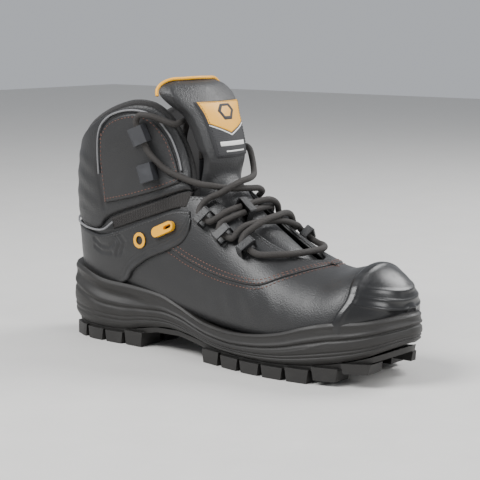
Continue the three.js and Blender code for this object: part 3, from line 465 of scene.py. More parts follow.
def panel(
    name, shape, material, slot, lift=0.0, thick=1.5, roll=1.4, wall=1.2, relief=None, body="boot", **edges
):
    """Lays a panel on the skin. Its border rolls down by thick over the width roll."""
    far = shape.edge_distance(**edges)
    fall = np.sqrt(np.maximum(0, 1 - (1 - np.minimum(far / roll, 1)) ** 2))
    offset = (lift(shape) if callable(lift) else lift) + thick * fall
    if relief is not None:
        offset = offset + relief(shape)
    surface = skin(shape.place[..., 0], shape.place[..., 1], offset)
    outwards = skin_normal(shape.place[..., 0], shape.place[..., 1])
    columns, rows = len(shape.low) - 1, shape.rows

    def pick(values):
        return lambda u, v: values[np.rint(u * columns).astype(int), np.rint(v * rows).astype(int)]

    piece = keep(drape(pick(surface), columns, rows, pick(outwards)), name, material, body)
    if wall:
        solid = piece.modifiers.new("leather", "SOLIDIFY")
        solid.thickness = wall / 1000
        solid.offset = -1
    print(name, columns, "x", rows)
    return piece


def near_line(points, drawn, reach):
    """1 on a line drawn in side view, falling smoothly to 0 at a distance of reach."""
    drawn = np.asarray(drawn, float)
    best = np.full(points.shape[:-1], 1e6)
    flat = points[..., [0, 2]]
    for a, b in zip(drawn[:-1], drawn[1:]):
        way = b - a
        share = np.clip(((flat - a) @ way) / (way @ way), 0, 1)
        best = np.minimum(best, np.linalg.norm(flat - a - share[..., None] * way, axis=-1))
    x = np.clip(1 - best / reach, 0, 1)
    return x * x * (3 - 2 * x)


# %% [markdown]
# ## Cords, piping and binding
# A tube is the same grid, wrapped round a path. Its frame is carried along the path without twisting, so a
# braid runs evenly. The seam is merged and both ends are filled, which closes the surface.

# %% Tube helper
def tube(path, radius, sides, relief=None):
    """A closed tube along points in millimetres. relief(along_mm, turn) changes the radius by a share."""
    path = np.asarray(path, float)
    ahead = np.gradient(path, axis=0)
    ahead /= np.linalg.norm(ahead, axis=1, keepdims=True)
    side = np.cross(ahead[0], [0.3, 0.2, 1.0])
    frames = []
    for way in ahead:
        side = side - way * (side @ way)
        side /= np.linalg.norm(side)
        frames.append((side, np.cross(way, side)))
    frames = np.array(frames)
    walked = np.concatenate([[0], np.cumsum(np.linalg.norm(np.diff(path, axis=0), axis=1))])

    def place(u, v):
        i = np.rint(u * (len(path) - 1)).astype(int)
        turn = v * 2 * math.pi
        size = radius * (1 + (relief(walked[i], turn) if relief else 0.0))
        size = np.broadcast_to(size, u.shape)[:, None]
        return path[i] + size * (frames[i, 0] * np.cos(turn)[:, None] + frames[i, 1] * np.sin(turn)[:, None])

    return drape(place, len(path) - 1, sides, solid=True)


def braid(along, turn):
    """Eight strands each way round a cord, a little proud where they cross over."""
    right = np.sin(4 * turn + along * 2.1)
    left = np.sin(4 * turn - along * 2.1)
    return 0.05 * np.maximum(right, left) - 0.02


# %% [markdown]
# ## Lace
# One woven lace, a little under 1 m long. It runs round the toe end of the throat, crosses five times
# through the leather loops, passes the two upper hooks and is tucked in behind the tongue. Its route is a
# list of points, through which a smooth curve is drawn, because every crossing has to pass over its partner
# by a lace's thickness.

# %% Lace
LACE_DIAMETER = 4.6
LACE_ROUTE = [
    # the end behind the tongue, over the cuff, and down through the outer upper hook
    (-46, -9, 138), (-47, -10, 147), (-47.5, -9.5, 156), (-45.5, -9.5, 163.5), (-41, -14, 168.5),
    (-38, -22, 168.5), (-38, -31.5, 167),
    (-44, -37.5, 170), (-51, -43, 173), (-58.5, -46, 173), (-61.5, -46, 168.5), (-58, -44.5, 159.5),
    # across the ankle to the third inner loop
    (-56, -43.5, 153), (-52.5, -42.5, 146.5), (-47, -40.5, 140.5), (-41, -37, 134.5),
    (-28, -32, 128.5), (-15.5, -28.5, 125), (-9, -24.5, 124), (-3, -18.5, 122.5), (1, -9.5, 121.5),
    (3, 5, 120.5), (2.5, 16, 119.5), (0.5, 22.5, 117), (-5, 28, 114), (-10, 31.5, 110.5), (-10, 34, 105.5),
    (-5.5, 34.5, 103), (-2.5, 34.5, 101.5),
    # to the second outer loop
    (1.5, 32.5, 102), (5, 28, 104.5), (9.5, 21.5, 106), (13.5, 13, 107), (16, 4, 107.5), (17, -6, 107),
    (16.5, -14, 106.5), (14.5, -22, 105), (11.5, -29, 102.5), (8.5, -34.5, 99.5), (9.5, -38, 95.5),
    (13.5, -38.5, 93), (17, -39, 91.5),
    # to the first inner loop
    (21.5, -38, 90.5), (22.5, -34.5, 94), (24.5, -28.5, 98), (26.5, -20, 99.5), (28, -11.5, 100),
    (29.5, 0, 99.5), (30.5, 9, 98.5), (31, 16.5, 96.5), (30, 23.5, 94.5), (28.5, 29.5, 92.5),
    (29.5, 33.5, 88), (33.5, 34, 85.5),
    # round the toe end of the throat to the first outer loop
    (38, 34, 83), (44, 33, 81), (53, 27, 81), (61, 17, 81), (65, 0, 81.5), (61, -19, 81), (53, -30, 81),
    (44, -36.5, 81), (38, -37.5, 83), (33.5, -37.5, 85.5),
    # to the second inner loop
    (29.5, -37.5, 88), (28.5, -33, 93), (30.5, -27, 97), (32.5, -19.5, 100.5), (33, -12, 102.5),
    (32, 0, 103.5), (30.5, 11, 104), (28.5, 19, 102.5), (25, 26.5, 99), (22.5, 32, 93.5), (21.5, 35.5, 90),
    (17, 36, 91), (13.5, 35.5, 93),
    # to the third outer loop
    (9.5, 35, 95.5), (9.5, 31, 101.5), (13, 25, 107), (16, 17, 111), (17, 9, 113), (15.5, 0, 112.5),
    (12.5, -11, 110.5), (11, -22.5, 109), (8, -30, 106.5), (5, -35, 103), (1, -38, 100.5),
    (-2.5, -38, 101.5), (-5.5, -37.5, 103),
    # across the ankle, up beside the tongue and through the inner upper hook
    (-9.5, -37, 105.5), (-10.5, -34, 110), (-7, -29.5, 115.5), (-1.5, -23.5, 119), (3.5, -17, 123.5),
    (5.5, -7, 127), (4.5, 2, 128), (0.5, 11, 128.5), (-6, 21, 130), (-15.5, 31, 138.5), (-25, 38.5, 146),
    (-36, 43, 146.5), (-45, 43.5, 143), (-52, 42.3, 146.5), (-56.5, 42.4, 153), (-58, 43.5, 159.5),
    # over the cuff and in behind the tongue
    (-61.5, 45.5, 168.5), (-58.5, 45.5, 173), (-51, 42.5, 173), (-44, 37, 170), (-38, 31, 167),
    (-38, 22, 168.5), (-41, 14, 168.5), (-45.5, 9.5, 163.5), (-47.5, 9.5, 156), (-47, 10, 147), (-46, 9, 138),
]


def even_curve(points, spacing):
    """A smooth curve that keeps close to uneven points, sampled at even distances."""
    points = np.asarray(points, float)
    knots = np.concatenate([[0], np.cumsum(np.linalg.norm(np.diff(points, axis=0), axis=1) ** 0.5)])
    ends = np.vstack([2 * points[0] - points[1], points, 2 * points[-1] - points[-2]])
    times = np.concatenate([[-knots[1]], knots, [2 * knots[-1] - knots[-2]]])
    out = []
    for i in range(1, len(ends) - 2):
        p, t = ends[i - 1 : i + 3], times[i - 1 : i + 3]
        for w in np.linspace(t[1], t[2], 24, endpoint=False):
            a = [
                (t[k + 1] - w) / (t[k + 1] - t[k]) * p[k] + (w - t[k]) / (t[k + 1] - t[k]) * p[k + 1]
                for k in range(3)
            ]
            b = [
                (t[k + 2] - w) / (t[k + 2] - t[k]) * a[k] + (w - t[k]) / (t[k + 2] - t[k]) * a[k + 1]
                for k in range(2)
            ]
            out.append((t[2] - w) / (t[2] - t[1]) * b[0] + (w - t[1]) / (t[2] - t[1]) * b[1])
    out.append(points[-1])
    out = np.array(out)
    length = np.linalg.norm(np.diff(out, axis=0), axis=1).sum()
    return spread(out, int(length / spacing), bend=False), length


lace_path, lace_length = even_curve(LACE_ROUTE, 0.62)
lace = keep(tube(lace_path, LACE_DIAMETER / 2, 20, braid), "woven_lace", BRAID)
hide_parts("lace")
print("lace", round(lace_length), "mm,", len(lace.data.polygons), "faces")

# %% [markdown]
# ## Leather upper
# Vamp, quarters and facing lie under everything else. One grid goes round the whole foot: its two side
# borders are the edges of the throat, where the tongue shows, and it closes over the toes. Above the
# collar's seam it dips, so that the padding can lie over it.

# %% The throat and the cuff's edge
THROAT = [(-34, 24), (-22, 24), (-10, 23), (12, 21), (40, 18), (60, 14), (69, 8), (72, 0)]
CUFF_FRONT = [(-24.5, 121), (-26, 125), (-31, 138), (-37, 152), (-42, 163), (-47, 172), (-55, 179)]
CUFF_TOP = [(-66, 181), (-78, 179), (-95, 173), (-115, 163), (-130, 153), (-140, 147)]
COLLAR_SEAM = [
    (-24, 119.5), (-32, 118.5), (-59, 109), (-96, 96), (-108, 86), (-119, 84.5), (-140, 88), (-150, 93)
]
VAMP_SEAM = [(-46, 78.6), (-36, 77), (-16, 70), (9, 64), (33, 61), (51, 61), (65, 67), (76, 71.5), (85, 74)]


def throat_edge(stations):
    """The angle at which the leather begins, for each station."""
    angles = np.radians(np.linspace(0, 80, 400))
    there = skin_point(stations[:, None] + 0 * angles, angles + 0 * stations[:, None])
    drawn = sorted(THROAT)
    half = np.interp(there[..., 0], [x for x, _ in drawn], [y for _, y in drawn])
    front = np.interp(there[..., 2], [z for _, z in CUFF_FRONT], [x for x, _ in CUFF_FRONT])
    inside = (np.abs(there[..., 1]) >= half) & ((there[..., 2] < 116) | (there[..., 0] < front))
    return angles[np.argmax(inside, axis=1)]


def bump_at(value, centre, width):
    return np.exp(-(((value - centre) / width) ** 2))


def ramp(x, low, high):
    t = np.clip((x - low) / (high - low), 0, 1)
    return t * t * (3 - 2 * t)


# %% The upper
stations = np.concatenate(
    [np.linspace(0.02, 3.6, 70), np.linspace(3.62, 4.0, 22), np.linspace(4.02, 9.8, 100)]
)
edge = throat_edge(stations)
edge = np.where(edge < 0.012, 0, edge)
upper_shape = Panel(
    np.stack([stations, edge], axis=1), np.stack([stations, 2 * math.pi - edge], axis=1), 170
)


def upper_relief(shape):
    x, z = shape.points[..., 0], shape.points[..., 2]
    seam = sorted(COLLAR_SEAM)
    above = z - np.interp(x, [p[0] for p in seam], [p[1] for p in seam])
    dip = -1.9 * ramp(above, 0.5, 4) * (x < -20)
    where = ramp(x, 5, 30) * (1 - ramp(x, 60, 85)) * ramp(z, 30, 45) * (1 - ramp(z, 52, 62))
    flex = 0.35 * np.sin(x * 0.33 + z * 0.12) * where
    return dip + flex


NO_EDGE = 50  # mm, where the two borders meet over the toes and there is no cut edge
upper_far = upper_shape.edge_distance(ends=False)
upper_far[edge < 0.02] = NO_EDGE
upper_shape.edge_distance = lambda **_: upper_far
upper = panel("leather_upper", upper_shape, LEATHER, "leather", -1.2, 1.2, 1.5, 1.6, upper_relief)
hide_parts("vamp", "quarter", "facing")

# %% [markdown]
# The facing is the U-shaped piece that carries the lace loops. It is sewn over the vamp with two rows of
# stitches, so it gets a panel of its own, a leather's thickness proud.

# %% Facing
facing_low = both_sides(line(VAMP_SEAM, 150, to_top=True))
facing_stations = np.linspace(7.0, 3.66, 150)
facing_high = np.stack([facing_stations, throat_edge(facing_stations)], axis=1)
facing_high[-1, 1] = 0
facing_shape = Panel(facing_low, both_sides(facing_high), 44)
panel("sewn_facing", facing_shape, LEATHER, "leather", 0.05, 1.0, 1.1, 1.0)

# %% [markdown]
# ## Heel cage
# A stiff overlay wraps the heel and sends a strap forward on each side. Its surface is moulded: the grooves
# are drawn in side view, and every grid point dips by its distance to them.

# %% Heel cage
CAGE_TOP = [
    (-20, 105.5), (-35, 104.5), (-56, 97.5), (-91, 85.5), (-107, 82), (-119, 83), (-140, 86.5), (-151, 92)
]
CAGE_LOW = [
    (-17.5, 98), (-18, 91), (-23, 83), (-34, 77), (-56, 68), (-72, 58), (-80, 49), (-100, 44), (-125, 50),
    (-147, 54),
]
CHEVRONS = [
    [(-87, 84), (-80.5, 78), (-84, 69)],
    [(-92, 83), (-85.5, 77), (-89, 68)],
    [(-114, 78), (-106, 73.5), (-97, 73), (-91, 77)],
    [(-113, 72), (-104, 68.5), (-94, 69)],
]


def cage_relief(shape):
    grooves = sum(near_line(shape.points, drawn, 2.2) for drawn in CHEVRONS)
    from_low = shape.up
    rib = np.exp(-(((from_low - 4.5) / 1.1) ** 2)) + 0.7 * np.exp(-(((from_low - 7.5) / 0.9) ** 2))
    strap = ramp(shape.points[..., 0], -92, -70)
    return -0.9 * np.clip(grooves, 0, 1) - 0.7 * rib * strap


cage_shape = Panel(
    both_sides(line(CAGE_LOW, 170, to_heel=True)), both_sides(line(CAGE_TOP, 170, to_heel=True)), 46
)
cage = panel("heel_cage_overlay", cage_shape, LEATHER, "leather", 0.2, 2.3, 2.0, 1.6, cage_relief)
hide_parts("heel_cage")

# %% [markdown]
# ## Padded collar
# Foam under soft leather. It swells between its lower seam and the cuff's edge, and small folds run round
# the heel where it bends. One panel goes round from the front of one side to the front of the other.

# %% Collar
def swell(shape):
    z = shape.points[..., 2]
    share = np.clip((z - 82) / 100, 0, 1)
    return 0.3 + 3.15 * np.sqrt(np.sin(share * math.pi))


def collar_relief(shape):
    x, z = shape.points[..., 0], shape.points[..., 2]
    folds = np.sin(z * 0.42 + 2.2 * np.sin(x * 0.05) + 0.6 * np.sin(x * 0.21))
    behind = (1 - ramp(x, -112, -98)) * ramp(z, 92, 102) * (1 - ramp(z, 138, 148))
    channel = near_line(shape.points, [(-101, 103), (-105, 130), (-101, 160), (-93, 172)], 3.0)
    return 0.28 * folds * behind + 0.5 * behind - 0.9 * channel


collar_low = both_sides(line(COLLAR_SEAM, 170, to_heel=True))
collar_high = both_sides(line(CUFF_FRONT + CUFF_TOP, 170, to_heel=True))
collar_shape = Panel(collar_low, collar_high, 70)
collar = panel(
    "padded_collar", collar_shape, SOFT, "soft_leather", lambda shape: swell(shape) - 2.4, 2.7, 4.0, 1.5,
    collar_relief
)
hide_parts("collar")

# %% [markdown]
# A woven binding is rolled round the cuff's edge, and a mesh lining goes down inside from it. Both follow
# the same line as the collar's upper border, so nothing shows between them.

# %% Binding and lining
binding_path = spread(skin(collar_high[:, 0], collar_high[:, 1], -2.0), 300)
binding = keep(tube(binding_path, 3.0, 18), "cuff_binding", MESH)
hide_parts("collar_binding")

LINING_LOW = [(-10, 62), (-40, 52), (-80, 50), (-110, 52), (-141, 60)]
lining_low = both_sides(line(LINING_LOW, 120, to_heel=True))
lining_high = both_sides(line(CUFF_FRONT + CUFF_TOP, 120, to_heel=True))
lining_shape = Panel(lining_low, lining_high, 60)
lining_surface = skin(lining_shape.place[..., 0], lining_shape.place[..., 1], -4.6)
lining_inward = -skin_normal(lining_shape.place[..., 0], lining_shape.place[..., 1])


def lining_pick(values):
    return lambda u, v: values[np.rint(u * 238).astype(int), np.rint(v * 60).astype(int)]


lining = keep(
    drape(lining_pick(lining_surface), 238, 60, lining_pick(lining_inward)), "mesh_lining", MESH
)
cloth = lining.modifiers.new("cloth", "SOLIDIFY")
cloth.thickness = 0.0015
cloth.offset = -1
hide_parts("lining")

# %% [markdown]
# ## Hook panels, stretch bands and piping
# On each side a smooth panel carries the two hooks, edged with grey reflective piping. Below it a ribbed
# band stretches when the ankle bends. The inner side's pieces are the outer side's with their angles
# mirrored.

# %% Hook panels, bands and piping
PANEL_LOW = [(-99, 106), (-75, 111), (-50, 118), (-33, 124)]
PANEL_HIGH = [
    (-99.5, 156), (-92, 167), (-78, 173), (-64, 174), (-55, 169), (-48, 158), (-42, 144), (-36, 130.5)
]
BAND_LOW = [(-93, 86.5), (-56, 99), (-35, 106), (-25, 107.5)]
BAND_HIGH = [(-95, 95), (-59, 107.7), (-32, 117.3), (-23, 118.7)]
PIPING = [
    (-103, 128), (-102, 157), (-94, 169.3), (-79, 175.4), (-64, 175.9), (-53.5, 170.8), (-46, 159),
    (-40, 145),
    (-34.5, 132),
]


def lifted(placed, lift):
    """Points over the collar's swell."""
    z = skin_point(placed[:, 0], placed[:, 1])[:, 2]
    share = np.clip((z - 82) / 100, 0, 1)
    return skin(placed[:, 0], placed[:, 1], 0.3 + 3.15 * np.sqrt(np.sin(share * math.pi)) + lift)


def ribs(shape):
    return 0.45 * np.sin(shape.along * 2.6) * ramp(shape.edge_distance(), 0.5, 2)


hook_shapes = []
for name, side in SIDES:
    turn = mirrored if side > 0 else (lambda placed: placed)
    hook_shape = Panel(turn(line(PANEL_LOW, 84)), turn(line(PANEL_HIGH, 84)), 60)
    hook_shapes.append(hook_shape)
    made = panel(
        f"hook_panel_{name}_leather", hook_shape, LEATHER, "leather", lambda s: swell(s) + 0.4, 1.7, 1.6,
        1.2
    )
    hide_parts(f"hook_panel_{name}")
    band = panel(
        f"stretch_band_{name}", Panel(turn(line(BAND_LOW, 130)), turn(line(BAND_HIGH, 130)), 14), RIBBED,
        "mesh",
        0.5, 1.1, 1.2, 0.8, ribs,
    )
    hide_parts(f"flex_band_{name}")
    piping = keep(
        tube(lifted(turn(line(PIPING, 160)), 1.3), 0.8, 10), f"grey_piping_{name}", REFLECTIVE
    )
    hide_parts(f"cuff_piping_{name}")

HEEL_PIPING = [(-92, 92), (-103, 85.5), (-119, 85), (-130, 86.5), (-139, 88), (-150, 92)]
heel_line = both_sides(line(HEEL_PIPING, 110, to_heel=True))
heel_piping = keep(
    tube(skin(heel_line[:, 0], heel_line[:, 1], 3.2), 0.8, 10), "grey_heel_piping", REFLECTIVE
)
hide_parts("heel_piping")

# %% [markdown]
# ## Toe guard
# A glossy rubber cap is bonded over the toes against scuffs. Its grid runs from the curved rear edge to the
# tip of the toe for every angle, and two ridges are raised round its front.

# %% Toe guard
GUARD_EDGE = [(44.5, 112), (58, 119), (68, 116), (90, 114)]  # height and place along the boot, rear edge
guard_angles = np.radians(np.linspace(-128, 128, 190))
guard_tries = np.linspace(0.4, 3.4, 300)
tried = skin_point(guard_tries[None, :], guard_angles[:, None])
edge_x = np.interp(tried[..., 2], *np.array(GUARD_EDGE, float).T)
guard_back = guard_tries[np.argmin(np.abs(tried[..., 0] - edge_x), axis=1)]
guard_back = np.convolve(np.pad(guard_back, 6, mode="edge"), np.ones(13) / 13, mode="valid")
guard_shape = Panel(
    np.stack([guard_back, guard_angles], axis=1), np.stack([0 * guard_back + 0.02, guard_angles], axis=1), 90
)


def guard_relief(shape):
    """A raised brow round the rear edge, and beads that run round the front."""
    x, y, z = shape.points[..., 0], shape.points[..., 1], shape.points[..., 2]
    brow = 0.7 * bump_at(shape.edge_distance(), 5.5, 2.0)
    front = ramp(x, 116, 130)
    beads = sum(bump_at(z, level + 0.004 * y**2, 1.1) for level in (50, 55.5, 61))
    return brow + 0.6 * beads * front


guard = panel(
    "toe_guard_rubber", guard_shape, GLOSS, "gloss_rubber", 0.2, 2.8, 3.2, 1.5, guard_relief, ends=False,
    upper=False
)
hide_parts("toe_guard")

# %% [markdown]
# ## Midsole
# The midsole is moulded in one piece, so its lines run round it without a seam. The grid's columns follow
# the sole's outline and its rows follow a drawn profile; grooves and beads are added as hills and valleys
# over the height.

# %% Outline and heights of the sole
SOLE_OUTLINE = np.array([
    (155, -6), (151, -21), (138, -37), (112, -49), (80, -55), (45, -55), (10, -49), (-30, -42), (-75, -40),
    (-115, -40), (-142, -30), (-153, -14), (-155, 0), (-153, 13), (-142, 29), (-115, 38), (-75, 37),
    (-30, 36), (10, 41), (45, 49), (80, 51), (106, 45), (128, 32), (147, 12),
], float)
TREAD = [
    (-156, 11), (-138, 8), (-115, 7), (-85, 7), (-65, 11), (-40, 14), (-15, 12), (10, 7.5), (35, 6.5),
    (70, 6.5),
    (100, 9), (130, 15), (156, 25),
]
RIM = [
    (-156, 57), (-129, 54), (-103, 48), (-75, 46), (-47, 43), (-30, 38), (-9, 31), (8, 28), (30, 27),
    (54, 29),
    (75, 33), (94, 39), (112, 43), (133, 45), (156, 49),
]
WALL = [(4, 0), (1, 0.12), (0, 0.4), (0.8, 0.7), (1.6, 0.92), (2.4, 1.0)]


def height(points, x):
    fine = spread(points, 400)
    return np.interp(x, fine[:, 0], fine[:, 1])


def outline(t, inset):
    """Points of the sole's outline for t from 0 to 1 round it, moved inwards."""
    rows = np.vstack([SOLE_OUTLINE[-2:], SOLE_OUTLINE, SOLE_OUTLINE[:3]])
    at = 2 + (np.asarray(t) % 1) * len(SOLE_OUTLINE)
    here = smooth(rows, at)
    way = smooth(rows, at + 0.02) - smooth(rows, at - 0.02)
    way /= np.linalg.norm(way, axis=-1, keepdims=True)
    inset = np.asarray(inset, float)
    return np.stack([here[..., 0] + way[..., 1] * inset, here[..., 1] - way[..., 0] * inset], axis=-1)


# %% Midsole
def wall_relief(x, share):
    """How far the wall stands out, in millimetres, at a place along the boot and a share of its height."""
    out = -0.7 * bump_at(share, 0.2, 0.022) - 0.7 * bump_at(share, 0.29, 0.022)
    sweep = np.interp(x, [-155, -110, -60, -20, 30, 90, 155], [0.62, 0.5, 0.47, 0.55, 0.5, 0.55, 0.6])
    out += -1.0 * bump_at(share, sweep, 0.035) + 0.6 * bump_at(share, sweep + 0.09, 0.05)
    out += 0.7 * bump_at(share, 0.93, 0.05)
    hollow = ramp(x, -150, -138) * (1 - ramp(x, -78, -50))
    spoon = np.interp(x, [-150, -120, -80, -50], [0.8, 0.77, 0.7, 0.62])
    out += -2.3 * bump_at(share, spoon, 0.1) * hollow
    ribs_line = np.interp(x, [10, 60, 95, 125, 150], [0.36, 0.36, 0.42, 0.66, 0.74])
    teeth = 0.5 + 0.5 * np.sin(x * 2 * math.pi / 2.4)
    return out + 0.55 * teeth * bump_at(share, ribs_line, 0.03) * ramp(x, 5, 25) * (1 - ramp(x, 128, 140))


SHARES = np.concatenate([[0.0, 0.0], np.linspace(0.0, 1.0, 62), [1.0, 0.97, 0.97, 0.05, 0.0]])


def midsole_place(u, v):
    row = np.rint(v * (len(SHARES) - 1)).astype(int)
    share = SHARES[row]
    middle = outline(u, 0.0)
    x = middle[:, 0]
    wall = np.array(WALL)
    on_wall = np.interp(share, wall[:, 1], wall[:, 0]) - wall_relief(x, share)
    inner = 7 + 7 * ramp(x, 112, 145) + 6 * (1 - ramp(x, -150, -122))
    inset = np.where((row >= 2) & (row <= 63), on_wall, inner)
    inset = np.where(row == 64, 3.4, inset)
    inset = np.where(row == 65, 0.5 * (inner + 3.4), inset)
    base = height(TREAD, x) + 4.3
    place = outline(u, inset)
    z = base + (height(RIM, x) - base) * share
    return np.concatenate([place, z[:, None]], axis=1)


midsole = keep(drape(midsole_place, 560, len(SHARES) - 1, solid=True), "moulded_midsole", RUBBER)
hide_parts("midsole")
print("midsole faces", len(midsole.data.polygons))

# %% [markdown]
# ## Moulded and metal pieces
# Lugs, hooks, rivets, eyelets, badges and loops already have the right shape in the model. Real ones have
# soft edges, so each is copied, its coplanar triangles are merged, and a Bevel modifier rounds it.

# %% Rounded copies
def rounded(node, name, material, width, body="boot", segments=3, limit=30):
    """A copy of a model piece with rounded edges, which stands in for it."""
    made = bmesh.new()
    made.from_mesh(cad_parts[node].data)
    bmesh.ops.remove_doubles(made, verts=made.verts, dist=2e-6)
    bmesh.ops.dissolve_limit(made, angle_limit=math.radians(1.5), verts=made.verts, edges=made.edges)
    piece = keep(made, name, material, body)
    bevel = piece.modifiers.new("soft edges", "BEVEL")
    bevel.width = width
    bevel.segments = segments
    bevel.limit_method = "ANGLE"
    bevel.angle_limit = math.radians(limit)
    bevel.use_clamp_overlap = True
    weighted = piece.modifiers.new("even shading", "WEIGHTED_NORMAL")
    weighted.keep_sharp = True
    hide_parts(node)
    return piece


rounded("outsole", "lugged_outsole", RUBBER, 0.0016, segments=3)
for name, _ in SIDES:
    rounded(f"eyelet_{name}", f"pill_eyelet_{name}", YELLOW, 0.0011)
    rounded(f"badge_{name}", f"ring_badge_{name}", YELLOW, 0.0003)
    for i in (1, 2):
        rounded(f"hook_{name}_{i}", f"steel_hook_{name}_{i}", BLACK_STEEL, 0.0005)
        rounded(f"rivet_{name}_{i}", f"hook_rivet_{name}_{i}", BLACK_STEEL, 0.0003)
    for i in (1, 2, 3):
        rounded(f"lace_loop_{name}_{i}", f"leather_loop_{name}_{i}", SOFT, 0.0006)
rounded("tongue_keeper", "leather_keeper", SOFT, 0.0006)
footbed = rounded("footbed", "felt_footbed_pad", FELT, 0.001, body="footbed")
for node, material in (
    ("shank", STEEL), ("steel_toe_cap", STEEL), ("penetration_plate", STEEL), ("heel_stiffener", FIBRE),
    ("insole_board", FIBRE), ("aglet_lateral", BLACK_STEEL), ("aglet_medial", BLACK_STEEL),
):
    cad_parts[node].material_slots[0].material = material

# %% [markdown]
# ## Tongue
# The tongue is one long pad. Its lower part follows the instep under the facing; above the ankle it stands
# free and spreads to two shoulders. It is a closed ring of points for each height, joined lengthwise.

# %% Rows of the tongue
ACROSS = 28


def lower_row(station):
    share = np.linspace(-1, 1, ACROSS + 1)
    reach = math.radians(42)
    angle = np.mod(-share * reach, 2 * math.pi)
    slot = math.radians(10 + (station - 3.85) * 7.5)
    begun = ramp(np.array(station), 3.85, 4.6)
    rise = np.maximum(0, 1 - (share * reach / slot) ** 2) * 5.2 * begun
    head = 5 * ramp(np.array(station), 6, 7) * (1 - share**2)
    thick = 11 * (0.25 + 0.45 * (1 - share**2)) * (0.5 + 0.5 * begun)
    front = skin(0 * share + station, angle, -6 + rise + head)
    return front, skin(0 * share + station, angle, -6 + rise + head - thick)


UPPER_ROWS = [
    # height, middle x, shoulder x and half width, edge x and half width
    (141, -10, -13, 18, -20, 20), (150, -12, -15, 20.5, -24, 22), (162, -16, -19, 22, -29, 23),
    (173, -20, -24, 24, -35, 25.5), (181, -24, -29, 28, -43, 32), (188, -29, -35, 30, -48, 36),
    (194, -34, -40, 26, -49, 33), (197, -40, -43, 18, -48, 25),
]


def upper_row(z, middle, shoulder_x, shoulder_y, edge_x, edge_y, slim=1.0):
    outer = ((edge_x + shoulder_x) / 2 + 1, (edge_y + shoulder_y) / 2 + 1.5)
    half = [(shoulder_x, shoulder_y), outer, (edge_x, edge_y)]
    drawn = [(x, -y) for x, y in half][::-1] + [(middle, 0)] + half
    where = np.linspace(0, 6, ACROSS + 1)
    front = smooth(drawn, where)
    way = smooth(drawn, where + 0.01) - smooth(drawn, where - 0.01)
    way /= np.linalg.norm(way, axis=1, keepdims=True)
    share = np.linspace(-1, 1, ACROSS + 1)
    thick = 11 * slim * (0.35 + 0.65 * (1 - share**4))
    behind = front + np.stack([-way[:, 1] * thick, way[:, 0] * thick], axis=1)
    level = np.full((ACROSS + 1, 1), float(z))
    return np.hstack([front, level]), np.hstack([behind, level])


tongue_rows = [lower_row(station) for station in (3.85, 4.1, 4.4, 4.8, 5.2, 5.6, 6.0, 6.4, 6.8)]
tongue_rows += [upper_row(*row, slim=0.5 if row[0] == 197 else 1.0) for row in UPPER_ROWS]
TONGUE_FRONT = np.array([row[0] for row in tongue_rows])
TONGUE_BACK = np.array([row[1] for row in tongue_rows])
top_middle = (TONGUE_FRONT[-1] + TONGUE_BACK[-1]) / 2 + np.array([0, 0, 1.6])
first_middle = (TONGUE_FRONT[0] + TONGUE_BACK[0]) / 2


def front_of(row, across, lift=0.0):
    """A point of the tongue's front: row counts the drawn rows, across is 0 to 1 from the outer edge."""
    row, across = np.asarray(row, float), np.asarray(across, float)

    def at(r, c):
        sheet = smooth(TONGUE_FRONT.reshape(len(TONGUE_FRONT), -1), r).reshape(*r.shape, ACROSS + 1, 3)
        i = np.clip(c * ACROSS, 0, ACROSS - 1e-6)
        low = i.astype(int)
        share = (i - low)[..., None]
        first = np.take_along_axis(sheet, low[..., None, None].repeat(3, -1), axis=-2)[..., 0, :]
        second = np.take_along_axis(sheet, (low + 1)[..., None, None].repeat(3, -1), axis=-2)[..., 0, :]
        return first * (1 - share) + second * share

    here = at(row, across)
    if np.any(lift):
        up = at(row + 0.05, across) - at(row - 0.05, across)
        over = at(row, np.clip(across + 0.02, 0, 1)) - at(row, np.clip(across - 0.02, 0, 1))
        out = np.cross(over, up)
        out /= np.maximum(1e-9, np.linalg.norm(out, axis=-1, keepdims=True))
        here = here + out * np.asarray(lift, float)[..., None]
    return here


def tongue_place(u, v):
    """u round the pad, v from the toe end to the top."""
    row = np.clip(v * 1.04 - 0.02, 0, 1) * (len(TONGUE_FRONT) - 1)
    ring = np.concatenate([TONGUE_FRONT, TONGUE_BACK[:, ::-1]], axis=1)
    count = ring.shape[1]
    i = np.rint(u * count).astype(int) % count
    rows = smooth(ring.reshape(len(ring), -1), row).reshape(len(row), count, 3)
    place = rows[np.arange(len(row)), i]
    top = (v > 0.9999)[:, None]
    bottom = (v < 0.0001)[:, None]
    column = np.clip(np.minimum(i, count - 1 - i), 0, ACROSS)
    centre_top = top_middle.mean(axis=0) * 0.3 + top_middle[column] * 0.7
    place = np.where(top, centre_top, place)
    return np.where(bottom, first_middle[column], place)


# %% Tongue pad
tongue = keep(
    drape(tongue_place, 2 * ACROSS + 2, 110, solid=True), "padded_tongue", SOFT, body=None
)
finer = tongue.modifiers.new("round", "SUBSURF")
finer.levels = finer.render_levels = 1
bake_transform(tongue)
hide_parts("tongue_lower", "tongue_upper")

half_piping = [(-49, 37, 187), (-50, 35.6, 191.5), (-49.3, 31.5, 195.6), (-47, 24, 198.4), (-44, 13, 198.9)]
piping_points = [(x, -y, z) for x, y, z in half_piping] + [(-42, 0, 199.2)] + half_piping[::-1]
piping = keep(
    tube(spread(piping_points, 140), 1.25, 12), "yellow_tongue_piping", YELLOW, body="tongue_top"
)
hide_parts("tongue_piping")

# %% [markdown]
# ## Tongue label
# A woven patch: a yellow shield with a plain six-sided ring, a white edge under it and a dark field with
# two plain bars. Each part is a thin grid lifted a little more than the one below it, placed by its share
# of the patch.

# %% Label
LABEL_ROWS = (9.15, 13.25)
LABEL_ACROSS = (0.385, 0.69)


